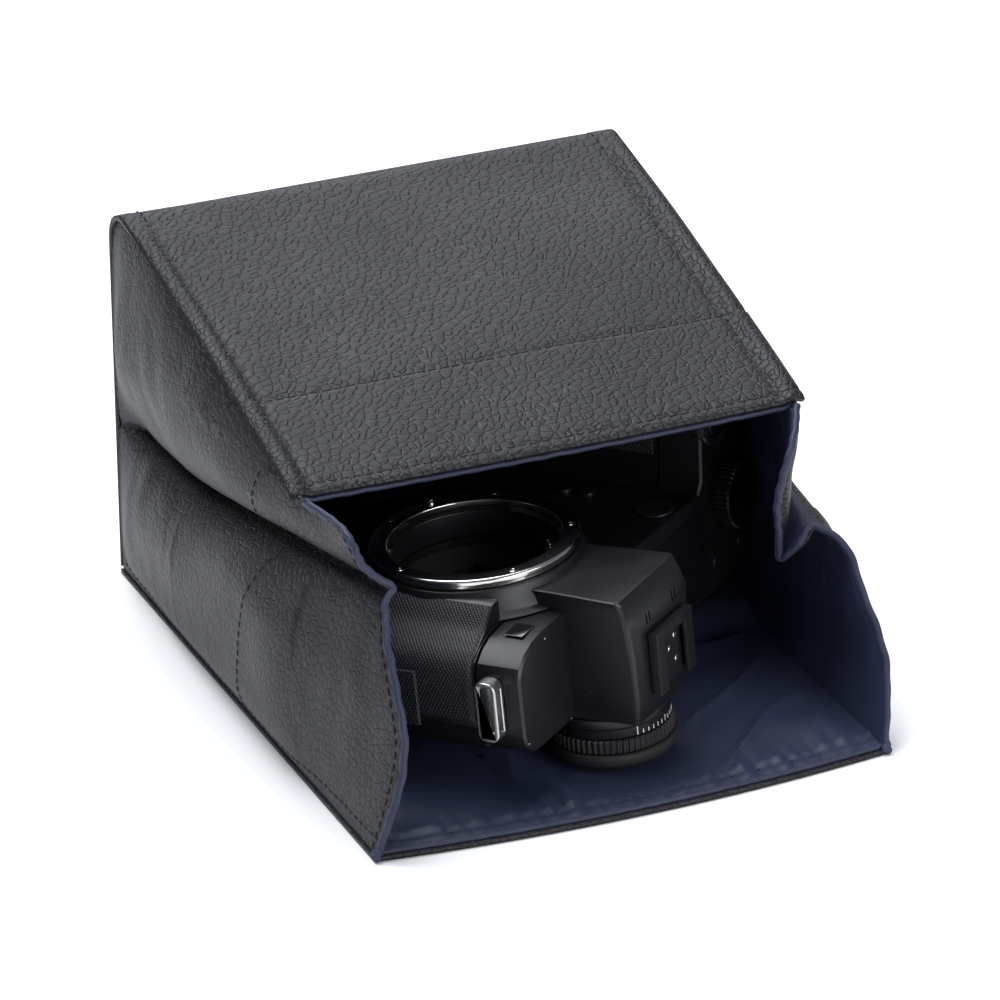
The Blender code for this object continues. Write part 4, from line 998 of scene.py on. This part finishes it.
def toothedMesh(radius, toothDepth, teeth, low, high, bore=0.0):
    mesh = bmesh.new()                          # a wheel with rounded teeth along its rim
    count = teeth * 4
    rings = [(low, 0.35), (low + 0.35, 0.0), (high - 0.35, 0.0), (high, 0.35)]
    loops = []
    for z, inset in rings:
        loop = []
        for k in range(count):
            wave = (0.0, 1.0, 1.0, 0.0)[k % 4]
            reach = radius - inset - toothDepth * wave
            angle = 2 * math.pi * (k + 0.5) / count
            loop.append(mesh.verts.new((reach * math.cos(angle) * mm, reach * math.sin(angle) * mm, z * mm)))
        loops.append([mesh.edges.new((loop[i], loop[(i + 1) % count])) for i in range(count)])
    for a, b in zip(loops, loops[1:]):
        bmesh.ops.bridge_loops(mesh, edges=a + b)
    inner = []
    for z, ring in ((high, loops[-1]), (low, loops[0])):
        hole = []
        reach = bore if bore else radius - 1.6
        for k in range(count):
            angle = 2 * math.pi * (k + 0.5) / count
            hole.append(mesh.verts.new((reach * math.cos(angle) * mm, reach * math.sin(angle) * mm, z * mm)))
        made = [mesh.edges.new((hole[i], hole[(i + 1) % count])) for i in range(count)]
        bmesh.ops.bridge_loops(mesh, edges=ring + made)
        inner.append((hole, made))
    if bore:
        bmesh.ops.bridge_loops(mesh, edges=inner[0][1] + inner[1][1])
    else:
        for (hole, made), sink in zip(inner, (-0.35, 0.0)):
            face = mesh.faces.new(hole)
            if sink:
                bmesh.ops.inset_region(mesh, faces=[face], thickness=0.25 * mm, depth=0)
                bmesh.ops.translate(mesh, vec=(0, 0, sink * mm), verts=face.verts)
    bmesh.ops.recalc_face_normals(mesh, faces=mesh.faces)
    return mesh


wheels = {                                      # node: piece, place, radius, tooth depth, teeth, height
    "top_dial": ("topDialKnurled", (-86.0, 35.3, -19.0), 10.5, 0.5, 40, 8.2),
    "thumb_wheel": ("thumbWheelKnurled", (-82.0, 12.0, -42.0), 8.2, 0.4, 34, 4.6),
}


def makeWheels():
    for node, (name, at, radius, toothDepth, teeth, tall) in wheels.items():
        wheel = toothedMesh(radius, toothDepth, teeth, 0, tall)
        piece = finishPiece(name, seat(wheel, at, faceUp), "black_metal", smooth=28, replaced=(node,))
        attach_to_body(piece, node)
    ring = toothedMesh(18.6, 0.45, 64, -57.1, -52.8, bore=15.0)
    piece = finishPiece("diopterKnurled", seat(ring, finderAt), "black_plastic", smooth=28,
                        replaced=("diopter_ring",))
    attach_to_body(piece, "diopter_ring")


def makeFinder():
    z = -46.3                                   # the rear of the hump, where the collar starts
    barrel = [(13.0, z), (18.2, z), (18.2, z - 2.8), (17.7, z - 3.2), (17.7, z - 6.2), (14.6, z - 6.2),
              (14.6, z - 11.0), (13.0, z - 11.0)]
    piece = finishPiece("eyepieceCollar", seat(turnedMesh(rounded(barrel, 0.2), 96), finderAt), "black_metal",
                        replaced=("eyepiece_barrel",))
    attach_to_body(piece, "camera")
    cup = [(15.0, -57.4), (19.0, -57.4), (19.5, -58.6), (19.3, -60.4), (18.4, -61.6), (17.4, -61.8),
           (16.4, -61.7), (15.5, -60.8), (15.0, -60.0)]
    piece = finishPiece("eyecupRubber", seat(turnedMesh(rounded(cup, 0.5), 96), finderAt), "rubber",
                        replaced=("eyecup",))
    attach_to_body(piece, "camera")
    mesh = bmesh.new()                          # a plain scale round the collar, with no figures
    for k in range(13):
        angle = math.radians(54 + 6.2 * k)
        tall = 2.6 if k in (0, 12) else (2.0 if k == 6 else 1.3)
        mark = bmesh.ops.create_cube(mesh, size=mm)["verts"]
        bmesh.ops.scale(mesh, vec=(0.12, 0.28, tall), verts=mark)
        bmesh.ops.transform(mesh, matrix=Matrix.Rotation(angle, 4, "Z")
                            @ Matrix.Translation(Vector((17.72, 0, z - 6.0 + tall / 2)) * mm), verts=mark)
    piece = finishPiece("collarScale", seat(mesh, finderAt), "white")
    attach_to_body(piece, "camera")


def makeContacts():                             # a short row of gold pins inside the throat
    mesh = bmesh.new()
    for k in range(10):
        angle = math.radians(93 + 4.6 * k)
        at = Vector((21.9 * math.cos(angle), 21.9 * math.sin(angle), -6.4)) * mm
        bmesh.ops.create_uvsphere(mesh, u_segments=10, v_segments=6, radius=0.42 * mm,
                                  matrix=Matrix.Translation(at))
    piece = finishPiece("contactPins", seat(mesh), "gold")
    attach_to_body(piece, "camera")
    mesh = bmesh.new()                          # the shelf they stand on
    bmesh.ops.create_grid(mesh, x_segments=24, y_segments=2, size=0.5)
    for v in mesh.verts:
        angle = math.radians(113.7 + 54 * v.co.x)
        radius = 22.2 + 3.4 * v.co.y
        v.co = Vector((radius * math.cos(angle), radius * math.sin(angle), -6.6)) * mm
    bmesh.ops.solidify(mesh, geom=mesh.faces[:], thickness=0.8 * mm)
    bmesh.ops.recalc_face_normals(mesh, faces=mesh.faces)
    piece = finishPiece("contactShelf", seat(mesh), "black_plastic")
    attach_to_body(piece, "camera")


def makeLugs():
    for name in ("left_strap_lug", "right_strap_lug"):
        softenNode(name, "brushed", 0.45, 25, 3)


def pinMesh(places, radius, tip, tall, sides, turn):    # short round pins, one at each place
    mesh = bmesh.new()
    for at in places:
        bmesh.ops.create_cone(mesh, cap_ends=True, segments=sides, radius1=radius * mm, radius2=tip * mm,
                              depth=tall * mm, matrix=Matrix.Translation(Vector(at) * mm) @ turn)
    return mesh


pins = {"shoeLevel": 61.05, "shoe": [(-2.0, -29.0), (-5.5, -33.5), (1.5, -33.5), (-5.5, -26.0), (1.5, -26.0)],
        "plateLevel": 38.0, "plate": [(29.4, -14.7), (18.9, -45.2), (44.2, -41.5)],
        "holes": (17.05, 44.1, -32.7), "holePitch": 2.0}


def makeShoeContacts():
    places = [(x, pins["shoeLevel"], z) for x, z in pins["shoe"]]
    piece = finishPiece("shoeContacts", seat(pinMesh(places, 1.1, 0.9, 0.25, 20, faceUp)), "steel")
    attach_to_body(piece, "camera")


def makeSideHoles():                            # three small holes in the finder's side wall
    x, y, z = pins["holes"]
    places = [(x, y, z - pins["holePitch"] * k) for k in range(3)]
    mesh = pinMesh(places, 0.5, 0.4, 0.5, 14, Matrix.Rotation(math.pi / 2, 4, "Y"))
    piece = finishPiece("sideHoles", seat(mesh), "rubber")
    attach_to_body(piece, "camera")
    places = [(x, pins["plateLevel"], z) for x, z in pins["plate"]]     # and tiny pins in the top plate
    piece = finishPiece("platePins", seat(pinMesh(places, 0.4, 0.3, 0.25, 12, faceUp)), "steel")
    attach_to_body(piece, "camera")


softened = {                                    # node: its material and how far its edges are rounded
    "body_casing": ("black_metal", 0.6), "top_cover": ("black_metal", 0.55),
    "base_plate": ("black_metal", 0.4), "rear_cover": ("black_metal", 0.3),
    "hot_shoe": ("black_metal", 0.25), "chassis": ("black_metal", 0.3),
    "shutter_frame": ("black_plastic", 0.15), "card_door": ("black_metal", 0.25),
    "port_cover": ("leatherette", 0.3), "battery": ("black_plastic", 0.3),
    "power_lever": ("brushed", 0.25), "shutter_button": ("black_metal", 0.3),
    "grip_leatherette": ("leatherette", 0.2), "lens_release_button": ("black_metal", 0.3),
    "focus_lamp": ("display", 0.15), "top_display": ("display", 0.15), "rear_screen": ("display", 0.2),
    "front_disc": ("disc", 0.2), "lens_contacts": ("black_plastic", 0.2),
}
reshapes = {"top_cover": humpShape, "focus_lamp": lambda x, y, z: (x, y, -12.0 + (z + 12.0) * 0.35)}
for nodeName, (look, width) in softened.items():
    softenNode(nodeName, look, width, reshape=reshapes.get(nodeName))
makeMount()
makeFlank()
makeWheels()
makeFinder()
makeContacts()
makeLugs()
makeShoeContacts()
makeSideHoles()

plainNodes = {"image_sensor": "sensor_glass", "eyepiece_lens": "optical_glass", "joystick": "rubber",
              "rear_button": "black_metal", "battery_lever": "black_metal", "lens_lock_pin": "steel",
              "top_button_1": "black_metal", "top_button_2": "black_metal",
              "front_button_upper": "black_metal", "front_button_lower": "black_metal"}
for nodeName, look in plainNodes.items():
    softenNode(nodeName, look, 0.12)
print("camera made")


studio = {"floor": (0.95, 0.95, 0.95), "world": 0.20, "key": 60.0, "fill": 11.0, "low": 7.0, "back": 6.0}


def makeFloor():
    mesh = bmesh.new()
    bmesh.ops.create_grid(mesh, x_segments=4, y_segments=4, size=6.0)
    data = bpy.data.meshes.new("studioFloor")
    mesh.to_mesh(data)
    mesh.free()
    floor = bpy.data.objects.new("studioFloor", data)
    floor.location.z = -0.0002
    bpy.context.scene.collection.objects.link(floor)
    made, tree, shader, point = startMaterial("paleFloor", 0.9)
    shader.inputs["Base Color"].default_value = (*studio["floor"], 1)
    data.materials.append(made)


def areaLight(name, at, aim, size, power, long=None):
    data = bpy.data.lights.new(name, "AREA")
    data.energy = power
    data.color = (0.94, 0.965, 1.0)
    data.size = size
    if long:
        data.shape = "RECTANGLE"
        data.size_y = long
    lamp = bpy.data.objects.new(name, data)
    lamp.location = at
    lamp.rotation_euler = (Vector(aim) - Vector(at)).to_track_quat("-Z", "Y").to_euler()
    bpy.context.scene.collection.objects.link(lamp)


def makeLights():
    areaLight("topSoftbox", (-0.3, 0.5, 1.9), (0, 0, 0), 1.8, studio["key"], long=1.6)
    areaLight("frontFill", (0.9, -1.5, 0.95), (0.02, -0.05, 0.03), 0.8, studio["fill"])
    areaLight("lowFill", (0.3, -1.5, 0.34), (0.02, 0, 0.05), 0.6, studio["low"])
    areaLight("leftStrip", (-1.5, -0.3, 0.6), (0, 0, 0.05), 0.35, studio["back"] * 0.3, long=1.2)
    areaLight("backRim", (0.6, 1.5, 0.9), (0, 0, 0.08), 0.9, studio["back"])
    world = bpy.data.worlds.new("studio")
    world.use_nodes = True
    sky = world.node_tree.nodes["Background"]
    sky.inputs["Color"].default_value = (0.86, 0.91, 1, 1)
    sky.inputs["Strength"].default_value = studio["world"]
    bpy.context.scene.world = world


viewpoint = {"azimuth": 22.9, "elevation": 25.9, "roll": -1.1, "distance": 2080.5, "aimHeight": 50.0,
             "lens": 260.66, "pan": -0.01831, "tilt": 0.02099}


def makeCamera():
    azimuth, elevation, roll = (math.radians(viewpoint[k]) for k in ("azimuth", "elevation", "roll"))
    forward = Vector((math.sin(azimuth) * math.cos(elevation), math.cos(azimuth) * math.cos(elevation),
                      -math.sin(elevation)))
    right = Vector((math.cos(azimuth), -math.sin(azimuth), 0))
    up = right.cross(forward)
    level = right * math.cos(roll) + up * math.sin(roll)
    raised = up * math.cos(roll) - right * math.sin(roll)
    at = pouchPoint(0, 0, viewpoint["aimHeight"]) - forward * viewpoint["distance"] * mm
    aim = (forward + level * viewpoint["pan"] + raised * viewpoint["tilt"]).normalized()
    side = aim.cross(raised).normalized()
    top = side.cross(aim)
    data = bpy.data.cameras.new("studioCamera")
    data.lens = viewpoint["lens"]
    data.sensor_width = 36
    data.clip_start, data.clip_end = 0.05, 50
    eye = bpy.data.objects.new("studioCamera", data)
    eye.matrix_world = Matrix.Translation(at) @ Matrix((side, top, -aim)).transposed().to_4x4()
    bpy.context.scene.collection.objects.link(eye)
    bpy.context.scene.camera = eye


makeFloor()
makeLights()
makeCamera()
bpy.context.scene.view_settings.view_transform = "Standard"
print("studio made")
